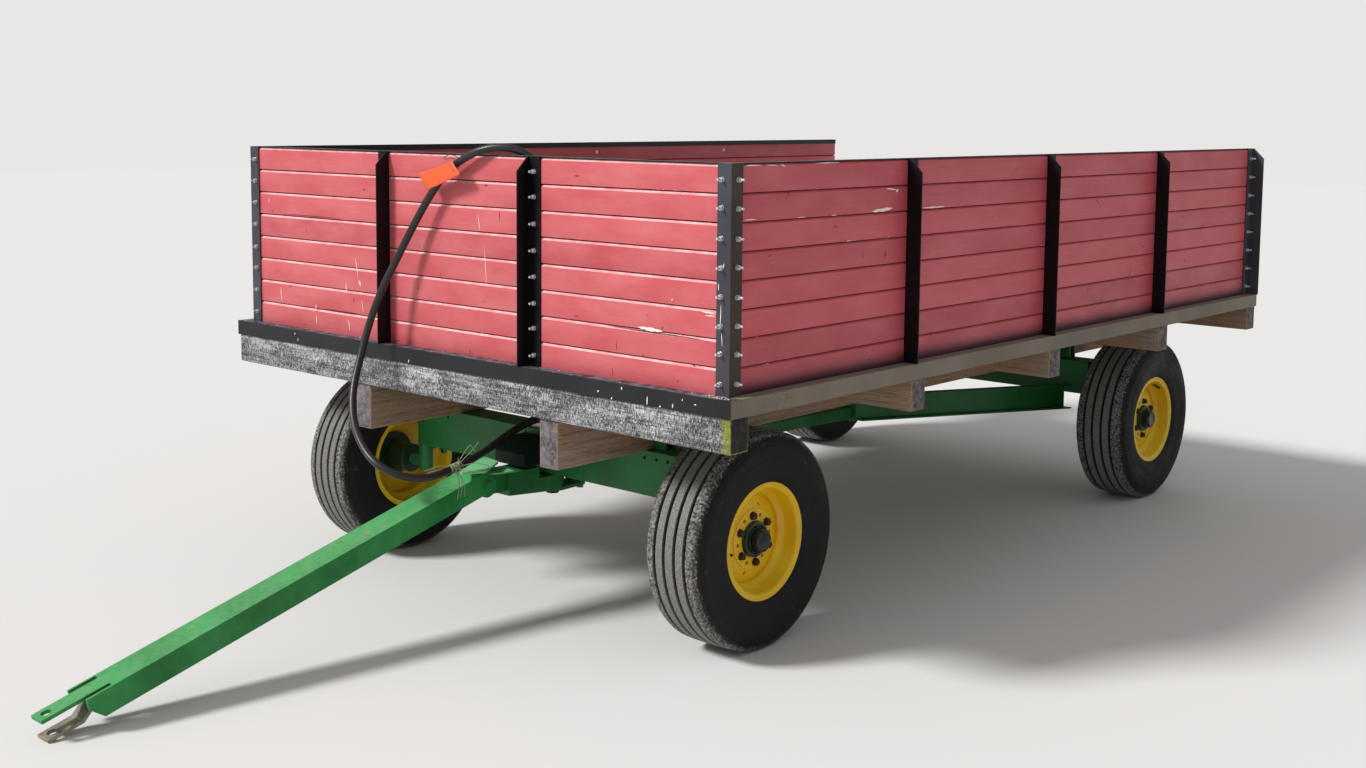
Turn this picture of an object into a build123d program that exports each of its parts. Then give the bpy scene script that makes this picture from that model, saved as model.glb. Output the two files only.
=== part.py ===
"""Hay wagon: a wooden box on a four-wheeled, steerable steel running gear, in millimetres.

+Z is up, X = 0 is the plane of symmetry, +X is the wagon's left side and the tongue points to -Y.
Z = 0 is the ground. The origin lies on the ground under the middle of the wagon's whole length.
"""
import os
from math import asin, atan, atan2, cos, degrees, hypot, pi, radians, sin, tan

from build123d import *

os.makedirs("parts", exist_ok=True)


def save(piece, node):
    """Label a finished piece and write it as one STEP file."""
    piece.part.label = node
    export_step(piece.part, f"parts/{node}.step")


# Wheels: 15 inch rims with ribbed implement tyres
tyre_radius = 387
tyre_section = 250
tread_width = 214
tyre_shoulder_drop = 16
tyre_shoulder_width = 18
tyre_shoulder_depth = 22
tyre_bulge_share = 0.66
bead_gap = 1
bead_overhang = 4
bead_overhang_rise = 3
rim_flange_radius = 208.5
bead_seat_radius = 190.5
seat_fall = 5
rim_width = 214
rim_thickness = 6
rim_well_radius = 166
rim_well_width = 64
rim_well_slope = 17
bead_wall = 8
disc_weld_overlap = 1
wheel_centre_x = 959
disc_inset = 54
disc_thickness = 10
disc_flat_radius = 107
disc_fall = 31
hub_flange_radius = 96
hub_flange_thickness = 14
hub_nose = 16
hub_barrel_radius = 60
hub_bore_gap = 1
pilot_step = 3
pilot_gap = 1
hub_inner_reach = 96
grease_cap_radius = 40
grease_cap_reach = 50
grease_cap_edge = 8
grease_cap_floor = 4
wheel_bolt_circle = 168
wheel_bolt_count = 6
wheel_bolt_radius = 12
wheel_bolt_head = 16

# Axles
wheelbase = 3048
beam_depth = 132
beam_bottom = 478
beam_top = 642
beam_plate = 10
beam_half_length = 746
doubler_width = 464
doubler_thickness = 4
beam_hole_radius = 7
beam_hole_height = 616
beam_hole_places = (551, 610, 665)
bracket_width = 164
bracket_reach = 226
bracket_bottom = 530
bracket_lip = 46
bracket_slope = 44
bracket_drop = 22
kingpin_x = 775
kingpin_radius = 19
kingpin_tube_radius = 32
kingpin_tube_bottom = 472
kingpin_tube_top = 604
kingpin_collar = 12
kingpin_collar_radius = 28
pin_end_gap = 1
pin_clearance = 0.25
seat_clearance = 0.3
spindle_radius = 22
spindle_root_radius = 27
spindle_root_length = 46
spindle_overrun = 8
knuckle_radius = 30
knuckle_bottom = 352
stake_width = 56
stake_height = 96
stake_gap = 4
stake_depth = 60

# Steering: the pull from the tongue turns one plate, which moves both tie rods
steering_arm = 122
tie_pin_offset = 28
tie_pin_radius = 8
tie_nut_radius = 14
tie_nut_height = 13
tie_eye_radius = 20
tie_eye_thickness = 20
tie_arm_thickness = 14
tie_arm_width = 36
tie_rod_radius = 11
tie_rod_overlap = 4
steering_plate_bottom = 400
steering_plate_thickness = 12
steering_plate_radius = 56
running_gap = 3
steering_pin_radius = 15
steering_boss_radius = 44
steering_web_length = 176
steering_nut_height = 16
steering_nut_radius = 26
steering_head_radius = 23
steering_head_height = 14
face_gap = 0.5
yoke_block_width = 120
yoke_block_top = 514
yoke_block_bottom = 405
yoke_block_nose_bottom = 428
yoke_block_front = 283
yoke_block_rear = 128
yoke_eye_radius = 37
yoke_low_top = 470
yoke_low_rear = 12

# Tongue: a folded channel that ends in a clevis of two straps
hinge_ahead = 389
hinge_height = 483
tongue_width = 120
tongue_height = 80
tongue_plate = 8
tongue_top = 54
tongue_ear_radius = 42
tongue_web_start = 18
tongue_web_setback = 190
tongue_wall_setback = 100
tongue_nose_cut = 40
tongue_nose_rise = 45
hitch_reach = 1726
hitch_tip = 32
hitch_hole_radius = 16
strap_width = 66
strap_thickness = 12
strap_gap = 54
strap_bend_setback = 160
strap_bend_length = 80
strap_bend_shift = 6
strap_root_setback = 306
strap_corner = 3
hinge_pin_radius = 12.5
hinge_pin_head = 14
hinge_pin_head_radius = 19.5
press_gap = 0.05
side_clearance = 6

# Latch: a skewed plate over the hinge, on a base plate on the yoke's neck; places are from the hinge pin
latch_base = [(-36, 14), (40, 12), (66, 62), (78, 117), (-13, 129), (-40, 90)]
latch_top = [(48, -127), (-103, 96), (-91, 119), (8, 99), (98, -42)]
latch_web = (16, 90)
latch_web_skew = 34
latch_base_thickness = 6
latch_height = 546
latch_plate = 8

# Reach pole and rear hounds
reach_width = 54
reach_front_height = 478
reach_rear_height = 426
reach_front_start = 70
reach_wall = 6
socket_depth = 80
socket_height = 100
socket_rise = 20
collar_station = 2012
reach_end = 2090
collar_length = 84
collar_wall = 12
hound_height = 124
hound_bottom = 396
hound_flange = 44
hound_plate = 8
hound_axle_x = 610

# Wooden bed
bed_front = 488
bed_length = 4060
bed_width = 2600
ledge = 45
deck_top = 980
deck_thickness = 25
plank_count = 14
plank_gap = 4
sill_height = 140
sill_width = 90
sill_count = 5
stringer_width = 90
stringer_x = 517
stringer_front_gap = 12
stringer_rear_gap = 20
angle_thickness = 6
edge_leg = 58
edge_joint_gap = 1

# Box walls
wall_top = 1714
board_thickness = 25
board_count = 8
board_gap = 2
board_end_gap = 1
board_chamfer = 4
post_leg = 57
stake_leg = 60
stake_cut = 50
front_stake_x = 386
side_stake_pitch = 1002
side_stake_first = 976
side_stake_count = 3
rail_thickness = 4
rail_lip = 20
rail_end_gap = 1

# Hose: under the bed, over the tongue's hinge, up the front wall and into the box
hose_radius = 14
hose_route = [(-40, 436, 676), (-19, 332, 663), (8, 226, 642), (38, 115, 614), (62, -30, 583), (54, -180, 556),
              (10, -272, 574), (-70, -318, 616), (-176, -300, 673), (-276, -258, 741), (-341, -208, 838),
              (-364, -150, 960), (-354, -115, 1087), (-313, -85, 1214), (-247, -60, 1336), (-178, -45, 1450),
              (-96, -36, 1560), (-9, -30, 1651), (80, -28, 1697), (160, -22, 1730), (242, 14, 1745),
              (316, 57, 1724), (374, 90, 1662), (404, 107, 1578), (408, 109, 1486)]
hose_end_radius = 17
hose_end_length = 90
hose_block = (70, 46, 52)
hose_tie_radius = 18
hose_tie_share = 0.19
hose_tie_length = 24
hose_tie_gap = 1
hose_bend_share = 0.45
tag_corners = [(-145, 1637), (48, 1688), (93, 1642), (-98, 1578)]
tag_thickness = 2
tag_ahead = 48.6

# Places worked out from the sizes above
hinge_pitch = asin(hinge_height / hypot(hitch_reach + hitch_tip, strap_gap + strap_thickness * 2 - tongue_top))
hinge_pitch = hinge_pitch - atan((strap_gap + strap_thickness * 2 - tongue_top) / (hitch_reach + hitch_tip))
nose = hinge_ahead + (hitch_reach + hitch_tip) * cos(hinge_pitch) + tongue_top * sin(hinge_pitch)
tail = bed_length + angle_thickness - bed_front
front_axle_y = (nose - tail) / 2
rear_axle_y = front_axle_y + wheelbase
bed_y = front_axle_y - bed_front
bed_end_y = bed_y + bed_length
hinge_y = front_axle_y - hinge_ahead
tongue_web_end = hitch_reach - tongue_web_setback
tongue_wall_end = hitch_reach - tongue_wall_setback
strap_bend_start = hitch_reach - strap_bend_setback
strap_bend_end = strap_bend_start + strap_bend_length
strap_root = hitch_reach - strap_root_setback
half_bed = bed_width / 2
edge_x = half_bed + ledge
edge_y = bed_y - ledge
sill_top = deck_top - deck_thickness
sill_bottom = sill_top - sill_height
ledge_top = deck_top + angle_thickness
board_face = half_bed - angle_thickness
knuckle_top = kingpin_tube_bottom - running_gap
spindle_end_x = wheel_centre_x + rim_width / 2 - disc_inset + spindle_overrun
tie_eye_bottom = steering_plate_bottom + steering_plate_thickness + running_gap
tie_arm_bottom = tie_eye_bottom + tie_eye_thickness + running_gap
wheels = {"front_left": (1, front_axle_y), "front_right": (-1, front_axle_y),
          "rear_left": (1, rear_axle_y), "rear_right": (-1, rear_axle_y)}
sides = {"left": 1, "right": -1}
axles = {"front": front_axle_y, "rear": rear_axle_y}


def across(x, y=0.0, z=0.0):
    """Plane whose normal is +X: its own x axis is world Y and its own y axis is world Z."""
    return Plane(origin=(x, y, z), x_dir=(0, 1, 0), z_dir=(1, 0, 0))


def wheel_plane(side, y):
    """Revolve plane of one wheel: its own x axis points outwards along the axle, its y axis is up."""
    return Plane(origin=(side * wheel_centre_x, y, tyre_radius), x_dir=(side, 0, 0), z_dir=(0, -side, 0))


def tongue_side(x=0.0):
    """Side plane of the tongue: x runs forward along it from the hinge pin, y points up from it."""
    return Plane(origin=(x, hinge_y, hinge_height),
                 x_dir=(0, -cos(hinge_pitch), -sin(hinge_pitch)), z_dir=(-1, 0, 0))


def tongue_face(height):
    """Plane along the tongue at a height over the hinge pin: x is world X, y runs back to the hinge."""
    side = tongue_side()
    return Plane(origin=side.from_local_coords(Vector(0, height, 0)), x_dir=(1, 0, 0), z_dir=side.y_dir)


# Wheels
for corner, (side, axle_y) in wheels.items():
    spin_axis = Axis((side * wheel_centre_x, axle_y, tyre_radius), (1, 0, 0))

    with BuildPart() as tyre:
        with BuildSketch(wheel_plane(side, axle_y)):
            with BuildLine():
                half_tread, half_section = tread_width / 2, tyre_section / 2
                bead = rim_width / 2 - bead_wall - bead_gap
                shoulder = tyre_radius - tyre_shoulder_drop
                bulge_radius = rim_flange_radius + tyre_bulge_share * (tyre_radius - rim_flange_radius)
                outline = [(bead, bead_seat_radius), (bead, rim_flange_radius + bead_gap),
                           (bead + bead_wall + bead_overhang, rim_flange_radius + bead_overhang_rise),
                           (half_section, bulge_radius),
                           (half_section - bead_wall, shoulder - tyre_shoulder_depth), (half_tread, shoulder),
                           (half_tread - tyre_shoulder_width, tyre_radius)]
                mirrored = [(-x, r) for x, r in reversed(outline)]
                Polyline(*outline, *mirrored, close=True)
            make_face()
        revolve(axis=spin_axis)
    save(tyre, f"{corner}_tyre")

    with BuildPart() as rim:
        with BuildSketch(wheel_plane(side, axle_y)):
            with BuildLine():
                half_rim, half_well = rim_width / 2, rim_well_width / 2
                seat = bead_seat_radius - seat_clearance
                wall_x = half_rim - bead_wall - seat_clearance
                outer = [(half_rim, rim_flange_radius), (wall_x, rim_flange_radius), (wall_x, seat),
                         (half_well + rim_well_slope, seat - seat_fall), (half_well, rim_well_radius)]
                well = [(-x, r) for x, r in reversed(outer)]
                inner = [(-half_rim, seat - rim_thickness),
                         (-half_well - rim_well_slope - rim_thickness, seat - seat_fall - rim_thickness),
                         (-half_well - rim_thickness, rim_well_radius - rim_thickness)]
                inner_front = [(-x, r) for x, r in reversed(inner)]
                Polyline(*outer, *well, *inner, *inner_front, close=True)
            make_face()
        revolve(axis=spin_axis)
        with BuildSketch(wheel_plane(side, axle_y)):
            with BuildLine():
                face = rim_width / 2 - disc_inset
                well_edge = rim_well_radius - rim_thickness + disc_weld_overlap
                hole_edge = hub_barrel_radius + pilot_step + pilot_gap
                front = [(face, hole_edge), (face, disc_flat_radius), (face - disc_fall, well_edge)]
                back = [(x - disc_thickness, r) for x, r in reversed(front)]
                Polyline(*front, *back, close=True)
            make_face()
        revolve(axis=spin_axis)
    save(rim, f"{corner}_rim")

    with BuildPart() as hub:
        disc_face = rim_width / 2 - disc_inset
        disc_back = disc_face - disc_thickness
        with BuildSketch(wheel_plane(side, axle_y)):
            with BuildLine():
                bore = spindle_radius + hub_bore_gap
                nose_x = disc_face + grease_cap_reach
                flange_back = disc_back - hub_flange_thickness
                pilot_radius = hub_barrel_radius + pilot_step
                cap_start = disc_face + hub_nose
                Polyline((-hub_inner_reach, bore), (-hub_inner_reach, hub_barrel_radius),
                         (flange_back, hub_barrel_radius), (flange_back, hub_flange_radius),
                         (disc_back, hub_flange_radius), (disc_back, pilot_radius), (cap_start, pilot_radius),
                         (cap_start, grease_cap_radius), (nose_x - grease_cap_edge, grease_cap_radius),
                         (nose_x, grease_cap_radius - grease_cap_edge), (nose_x, 0),
                         (cap_start + grease_cap_floor, 0), (cap_start + grease_cap_floor, bore), close=True)
            make_face()
        revolve(axis=spin_axis)
        bolt_plane = Plane(origin=(side * (wheel_centre_x + disc_face), axle_y, tyre_radius),
                           x_dir=(0, side, 0), z_dir=(side, 0, 0))
        with BuildSketch(bolt_plane):
            with PolarLocations(wheel_bolt_circle / 2, wheel_bolt_count):
                RegularPolygon(wheel_bolt_radius, 6)
        extrude(amount=wheel_bolt_head)
    save(hub, f"{corner}_hub")

# The reach pole slopes down from the front beam's socket to the hounds' collar
reach_slope = atan((reach_rear_height - reach_front_height) / (collar_station - reach_front_start))
reach_plane = Plane(origin=(0, front_axle_y + reach_front_start, reach_front_height),
                    x_dir=(1, 0, 0), z_dir=(0, cos(reach_slope), sin(reach_slope)))

# Axle beams, open below, with the kingpin tubes at the front and dropped spindles at the rear
for end, axle_y in axles.items():
    with BuildPart() as beam:
        with BuildSketch(across(0)):
            with Locations((axle_y, (beam_top + beam_bottom) / 2)):
                Rectangle(beam_depth, beam_top - beam_bottom)
            with Locations((axle_y, (beam_top + beam_bottom) / 2 - beam_plate)):
                Rectangle(beam_depth - 2 * beam_plate, beam_top - beam_bottom, mode=Mode.SUBTRACT)
        extrude(amount=beam_half_length, both=True)
        end_plate_x = beam_half_length - beam_plate / 2
        with BuildSketch(across(end_plate_x), across(-end_plate_x)):
            with Locations((axle_y, (beam_top + beam_bottom) / 2)):
                Rectangle(beam_depth, beam_top - beam_bottom)
        extrude(amount=beam_plate / 2, both=True)
        if end == "front":
            with BuildSketch(Plane.XY.offset(kingpin_tube_bottom)):
                with Locations((kingpin_x, axle_y), (-kingpin_x, axle_y)):
                    Circle(kingpin_tube_radius)
            extrude(amount=kingpin_tube_top - kingpin_tube_bottom)
            with BuildSketch(Plane.XY.offset(kingpin_tube_bottom)):
                with Locations((kingpin_x, axle_y), (-kingpin_x, axle_y)):
                    Circle(kingpin_radius + pin_clearance)
            extrude(amount=kingpin_tube_top - kingpin_tube_bottom, mode=Mode.SUBTRACT)
            with BuildSketch(Plane.XY.offset(beam_bottom)):
                with Locations((0, axle_y)):
                    Rectangle(steering_web_length, beam_depth)
                    Circle(steering_pin_radius + pin_clearance, mode=Mode.SUBTRACT)
            extrude(amount=beam_plate)
            with BuildSketch(Plane.XZ.offset(-(axle_y - beam_depth / 2))):
                with Locations((0, (beam_top + beam_bottom) / 2)):
                    Rectangle(doubler_width, beam_top - beam_bottom)
            extrude(amount=doubler_thickness)
            with BuildSketch(Plane.XZ.offset(-(axle_y - beam_depth / 2))):
                with Locations(*[(s * x, beam_hole_height) for s in (1, -1) for x in beam_hole_places]):
                    Circle(beam_hole_radius)
            extrude(amount=-beam_depth, mode=Mode.SUBTRACT)
            bracket_back = axle_y - beam_depth / 2 + beam_plate / 2
            with BuildSketch(across(0)):
                with BuildLine():
                    bracket = [(bracket_back, beam_top - bracket_drop), (bracket_back, bracket_bottom),
                               (axle_y - bracket_reach, bracket_bottom),
                               (axle_y - bracket_reach, bracket_bottom + bracket_lip),
                               (axle_y - bracket_reach + bracket_slope, beam_top - bracket_drop)]
                    Polyline(*bracket, close=True)
                make_face()
            extrude(amount=bracket_width / 2, both=True)
            with BuildSketch(across(0)):
                with BuildLine():
                    Polyline((bracket_back - beam_plate, beam_top - bracket_drop - beam_plate),
                             (bracket_back - beam_plate, bracket_bottom),
                             (axle_y - bracket_reach + beam_plate, bracket_bottom),
                             (axle_y - bracket_reach + beam_plate, bracket_bottom + bracket_lip - beam_plate / 2),
                             (axle_y - bracket_reach + bracket_slope + beam_plate / 2,
                              beam_top - bracket_drop - beam_plate), close=True)
                make_face()
            extrude(amount=bracket_width / 2 - beam_plate, both=True, mode=Mode.SUBTRACT)
            with BuildSketch(across(0)):
                with Locations((axle_y + (beam_depth + socket_depth) / 2, reach_front_height + socket_rise)):
                    Rectangle(socket_depth, socket_height)
            extrude(amount=reach_width / 2 + collar_wall, both=True)
        else:
            for side in (1, -1):
                with BuildSketch(across(side * beam_half_length)):
                    with Locations((axle_y, (knuckle_bottom + beam_top) / 2)):
                        Rectangle(2 * knuckle_radius, beam_top - knuckle_bottom)
                extrude(amount=side * (kingpin_x + knuckle_radius - beam_half_length))
                with BuildSketch(across(side * kingpin_x, axle_y, tyre_radius)):
                    Circle(spindle_radius)
                extrude(amount=side * (spindle_end_x - kingpin_x))
                with BuildSketch(across(side * kingpin_x, axle_y, tyre_radius)):
                    Circle(spindle_root_radius)
                extrude(amount=side * (knuckle_radius + spindle_root_length))
        if end == "front":
            with BuildSketch(reach_plane.offset(-socket_depth / 2)):
                Rectangle(reach_width + 2 * seat_clearance, reach_width + 2 * seat_clearance)
            extrude(amount=2 * socket_depth, mode=Mode.SUBTRACT)
    save(beam, f"{end}_axle")

with BuildPart() as bolster_stakes:
    for axle_y in axles.values():
        for side in (1, -1):
            stake_x = side * (stringer_x + stringer_width / 2 + stake_gap + stake_width / 2)
            with BuildSketch(Plane.XY.offset(beam_top)):
                with Locations((stake_x, axle_y)):
                    Rectangle(stake_width, stake_depth)
                with Locations((stake_x + side * beam_plate, axle_y)):
                    Rectangle(stake_width, stake_depth - 2 * beam_plate, mode=Mode.SUBTRACT)
            extrude(amount=stake_height)
save(bolster_stakes, "bolster_stakes")

# Steering pin through the front beam, with its nut below
with BuildPart() as steering_pin:
    nut_bottom = steering_plate_bottom - steering_nut_height - face_gap
    with BuildSketch(Plane.XY.offset(nut_bottom)):
        with Locations((0, front_axle_y)):
            RegularPolygon(steering_nut_radius, 6)
    extrude(amount=steering_nut_height)
    with BuildSketch(Plane.XY.offset(nut_bottom)):
        with Locations((0, front_axle_y)):
            Circle(steering_pin_radius)
    extrude(amount=beam_bottom + beam_plate - nut_bottom)
    with BuildSketch(Plane.XY.offset(beam_bottom + beam_plate)):
        with Locations((0, front_axle_y)):
            Circle(steering_head_radius)
    extrude(amount=steering_head_height)
save(steering_pin, "steering_pin")

with BuildPart() as reach_pole:
    with BuildSketch(reach_plane):
        Rectangle(reach_width, reach_width)
        Rectangle(reach_width - 2 * reach_wall, reach_width - 2 * reach_wall, mode=Mode.SUBTRACT)
    extrude(amount=reach_end - reach_front_start)
save(reach_pole, "reach_pole")

collar_plane = reach_plane.offset((collar_station - reach_front_start) / cos(reach_slope))
with BuildPart() as reach_collar:
    with BuildSketch(collar_plane):
        Rectangle(reach_width + 2 * collar_wall, reach_width + 2 * collar_wall)
        Rectangle(reach_width + 2 * seat_clearance, reach_width + 2 * seat_clearance, mode=Mode.SUBTRACT)
    extrude(amount=collar_length / 2, both=True)
save(reach_collar, "reach_collar")

# Rear hounds: channels on edge from the collar's sides to the rear beam, open outwards
for name, side in sides.items():
    near_x = reach_width / 2 + collar_wall + seat_clearance
    near_y = front_axle_y + collar_station - collar_length / 2
    far_y = rear_axle_y - beam_depth / 2 - seat_clearance
    run = hypot(hound_axle_x - near_x, far_y - near_y)
    plate_across = hound_plate * run / (far_y - near_y)
    flange_across = hound_flange * run / (far_y - near_y)
    with BuildPart() as hound:
        for floor, height, reach_out in ((0, hound_height, plate_across), (0, hound_plate, flange_across),
                                         (hound_height - hound_plate, hound_plate, flange_across)):
            with BuildSketch(Plane.XY.offset(hound_bottom + floor)):
                with BuildLine():
                    Polyline((side * near_x, near_y), (side * hound_axle_x, far_y),
                             (side * (hound_axle_x + reach_out), far_y), (side * (near_x + reach_out), near_y),
                             close=True)
                make_face()
            extrude(amount=height)
    save(hound, f"rear_hound_{name}")

# Steered knuckles and their tie rods
for name, side in sides.items():
    with BuildPart() as knuckle:
        with BuildSketch(Plane.XY.offset(knuckle_bottom)):
            with Locations((side * kingpin_x, front_axle_y)):
                Circle(knuckle_radius)
        extrude(amount=knuckle_top - knuckle_bottom)
        with BuildSketch(Plane.XY.offset(knuckle_top)):
            with Locations((side * kingpin_x, front_axle_y)):
                Circle(kingpin_radius)
        extrude(amount=kingpin_tube_top + pin_end_gap - knuckle_top)
        with BuildSketch(Plane.XY.offset(kingpin_tube_top + pin_end_gap)):
            with Locations((side * kingpin_x, front_axle_y)):
                Circle(kingpin_collar_radius)
        extrude(amount=kingpin_collar)
        with BuildSketch(across(side * kingpin_x, front_axle_y, tyre_radius)):
            Circle(spindle_radius)
        extrude(amount=side * (spindle_end_x - kingpin_x))
        with BuildSketch(across(side * kingpin_x, front_axle_y, tyre_radius)):
            Circle(spindle_root_radius)
        extrude(amount=side * (knuckle_radius + spindle_root_length))
        pin_spot = (side * (kingpin_x + tie_pin_offset), front_axle_y + steering_arm)
        with BuildSketch(Plane.XY.offset(tie_arm_bottom)):
            with Locations(pin_spot):
                Circle(tie_arm_width / 2)
            with Locations((side * (kingpin_x + tie_pin_offset / 2), front_axle_y + steering_arm / 2)):
                Rectangle(hypot(steering_arm, tie_pin_offset), tie_arm_width,
                          rotation=degrees(atan2(steering_arm, side * tie_pin_offset)))
        extrude(amount=tie_arm_thickness)
        with BuildSketch(Plane.XY.offset(steering_plate_bottom)):
            with Locations(pin_spot):
                Circle(tie_pin_radius)
        extrude(amount=tie_arm_bottom - steering_plate_bottom)
        with BuildSketch(Plane.XY.offset(tie_eye_bottom - running_gap - tie_nut_height)):
            with Locations(pin_spot):
                RegularPolygon(tie_nut_radius, 6)
        extrude(amount=tie_nut_height)
    save(knuckle, f"knuckle_{name}")

    with BuildPart() as tie_rod:
        inner_x, outer_x = side * tie_pin_offset, side * (kingpin_x + tie_pin_offset)
        rod_y = front_axle_y + steering_arm
        with BuildSketch(Plane.XY.offset(tie_eye_bottom)):
            with Locations((inner_x, rod_y), (outer_x, rod_y)):
                Circle(tie_eye_radius)
                Circle(tie_pin_radius + pin_clearance, mode=Mode.SUBTRACT)
        extrude(amount=tie_eye_thickness)
        rod_start = inner_x + side * (tie_eye_radius - tie_rod_overlap)
        with BuildSketch(across(rod_start, rod_y, tie_eye_bottom + tie_eye_thickness / 2)):
            Circle(tie_rod_radius)
        extrude(amount=side * (abs(outer_x - inner_x) - 2 * (tie_eye_radius - tie_rod_overlap)))
    save(tie_rod, f"tie_rod_{name}")

# Tongue yoke: it turns under the front beam and carries the tongue's hinge and the steering plate
with BuildPart() as tongue_yoke:
    neck_width = tongue_width - 2 * tongue_plate - 2 * side_clearance
    block_front_y = front_axle_y - yoke_block_front
    block_rear_y = front_axle_y - yoke_block_rear
    low_rear_y = front_axle_y - yoke_low_rear
    tie_pin_y = front_axle_y + steering_arm
    with BuildSketch(across(0)):
        with Locations((hinge_y, hinge_height)):
            Circle(yoke_eye_radius)
            Rectangle(block_front_y - hinge_y, 2 * yoke_eye_radius, align=(Align.MIN, Align.CENTER))
            Circle(hinge_pin_radius + pin_clearance, mode=Mode.SUBTRACT)
    extrude(amount=neck_width / 2, both=True)
    with BuildSketch(across(0)):
        with BuildLine():
            Polyline((block_front_y, yoke_block_top), (block_rear_y, yoke_block_top), (block_rear_y, yoke_low_top),
                     (low_rear_y, yoke_low_top), (low_rear_y, yoke_block_bottom),
                     (block_front_y, yoke_block_nose_bottom), close=True)
        make_face()
    extrude(amount=yoke_block_width / 2, both=True)
    with BuildSketch(Plane.XY.offset(steering_plate_bottom)):
        with Locations((0, front_axle_y)):
            Circle(steering_plate_radius)
        with Locations((tie_pin_offset, tie_pin_y), (-tie_pin_offset, tie_pin_y)):
            Circle(tie_eye_radius)
        make_hull()
    extrude(amount=steering_plate_thickness)
    with BuildSketch(Plane.XY.offset(steering_plate_bottom + steering_plate_thickness)):
        with Locations((tie_pin_offset, tie_pin_y), (-tie_pin_offset, tie_pin_y)):
            Circle(tie_pin_radius)
    extrude(amount=2 * running_gap + tie_eye_thickness)
    with BuildSketch(Plane.XY.offset(steering_plate_bottom - tie_nut_height)):
        with Locations((tie_pin_offset, tie_pin_y), (-tie_pin_offset, tie_pin_y)):
            RegularPolygon(tie_nut_radius, 6)
    extrude(amount=tie_nut_height)
    with BuildSketch(Plane.XY.offset(steering_plate_bottom)):
        with Locations((0, front_axle_y)):
            Circle(steering_boss_radius)
    extrude(amount=beam_bottom - face_gap - steering_plate_bottom)
    with BuildSketch(Plane.XY.offset(steering_plate_bottom)):
        with Locations((0, front_axle_y)):
            Circle(steering_pin_radius + pin_clearance)
    extrude(amount=beam_bottom - steering_plate_bottom, mode=Mode.SUBTRACT)
save(tongue_yoke, "tongue_yoke")

# Tongue
with BuildPart() as tongue_beam:
    wall_bottom = tongue_top - tongue_height
    with BuildSketch(tongue_side(tongue_width / 2), tongue_side(tongue_plate - tongue_width / 2)):
        with BuildLine():
            Polyline((0, wall_bottom), (tongue_wall_end - tongue_nose_cut, wall_bottom),
                     (tongue_wall_end, wall_bottom + tongue_nose_rise),
                     (tongue_wall_end, tongue_top), (0, tongue_top), close=True)
        make_face()
        Circle(tongue_ear_radius)
        Circle(hinge_pin_radius, mode=Mode.SUBTRACT)
    extrude(amount=tongue_plate)
    with BuildSketch(tongue_face(tongue_top - tongue_plate)):
        with Locations((0, -(tongue_web_start + tongue_web_end) / 2)):
            Rectangle(tongue_width, tongue_web_end - tongue_web_start)
    extrude(amount=tongue_plate)
    strap_end = hitch_reach + hitch_tip
    with BuildSketch(tongue_face(tongue_top - strap_thickness)):
        with Locations((0, -(strap_root + strap_end) / 2)):
            RectangleRounded(strap_width, strap_end - strap_root, strap_corner)
        with Locations((0, -hitch_reach)):
            Circle(hitch_hole_radius, mode=Mode.SUBTRACT)
    extrude(amount=strap_thickness)
save(tongue_beam, "tongue_beam")

with BuildPart() as lower_strap:
    lower_top = tongue_top - strap_thickness - strap_gap
    root_top = tongue_top - strap_thickness - seat_clearance
    with BuildSketch(tongue_side()):
        with BuildLine():
            Polyline((strap_root, root_top), (strap_bend_start, root_top), (strap_bend_end, lower_top),
                     (strap_end, lower_top), (strap_end, lower_top - strap_thickness),
                     (strap_bend_end - strap_bend_shift, lower_top - strap_thickness),
                     (strap_bend_start - strap_bend_shift, root_top - strap_thickness),
                     (strap_root, root_top - strap_thickness), close=True)
        make_face()
    extrude(amount=strap_width / 2, both=True)
    with BuildSketch(tongue_face(lower_top - strap_thickness)):
        with Locations((0, -hitch_reach)):
            Circle(hitch_hole_radius)
    extrude(amount=strap_thickness, mode=Mode.SUBTRACT)
save(lower_strap, "tongue_lower_strap")

with BuildPart() as latch:
    neck_top = hinge_height + yoke_eye_radius
    with BuildSketch(Plane.XY.offset(neck_top)):
        with BuildLine():
            Polyline(*[(x, hinge_y + y) for x, y in latch_base], close=True)
        make_face()
    extrude(amount=latch_base_thickness)
    with BuildSketch(Plane.XY.offset(neck_top + latch_base_thickness)):
        with Locations((-latch_web[0] / 2, hinge_y + latch_web[1] / 2 + latch_web[0])):
            Rectangle(*latch_web, rotation=latch_web_skew)
    extrude(amount=latch_height - neck_top - latch_base_thickness)
    with BuildSketch(Plane.XY.offset(latch_height)):
        with BuildLine():
            Polyline(*[(x, hinge_y + y) for x, y in latch_top], close=True)
        make_face()
    extrude(amount=latch_plate)
    fillet(latch.edges().filter_by(Axis.Z).group_by(Axis.Z)[-1], latch_plate)
save(latch, "tongue_latch")

with BuildPart() as hinge_pin:
    with BuildSketch(tongue_side(tongue_width / 2 + hinge_pin_head)):
        Circle(hinge_pin_radius - press_gap)
    extrude(amount=tongue_width + 2 * hinge_pin_head)
    with BuildSketch(tongue_side(tongue_width / 2 + hinge_pin_head)):
        Circle(hinge_pin_head_radius)
    extrude(amount=hinge_pin_head - seat_clearance)
save(hinge_pin, "tongue_hinge_pin")

# Timbers under the bed
with BuildPart() as stringers:
    stringer_start = edge_y + angle_thickness + stringer_front_gap
    stringer_end = bed_end_y - stringer_rear_gap
    stringer_y = (stringer_start + stringer_end) / 2
    with BuildSketch(Plane.XY.offset(beam_top)):
        with Locations((stringer_x, stringer_y), (-stringer_x, stringer_y)):
            Rectangle(stringer_width, stringer_end - stringer_start)
    extrude(amount=sill_bottom - beam_top)
save(stringers, "stringers")

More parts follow.
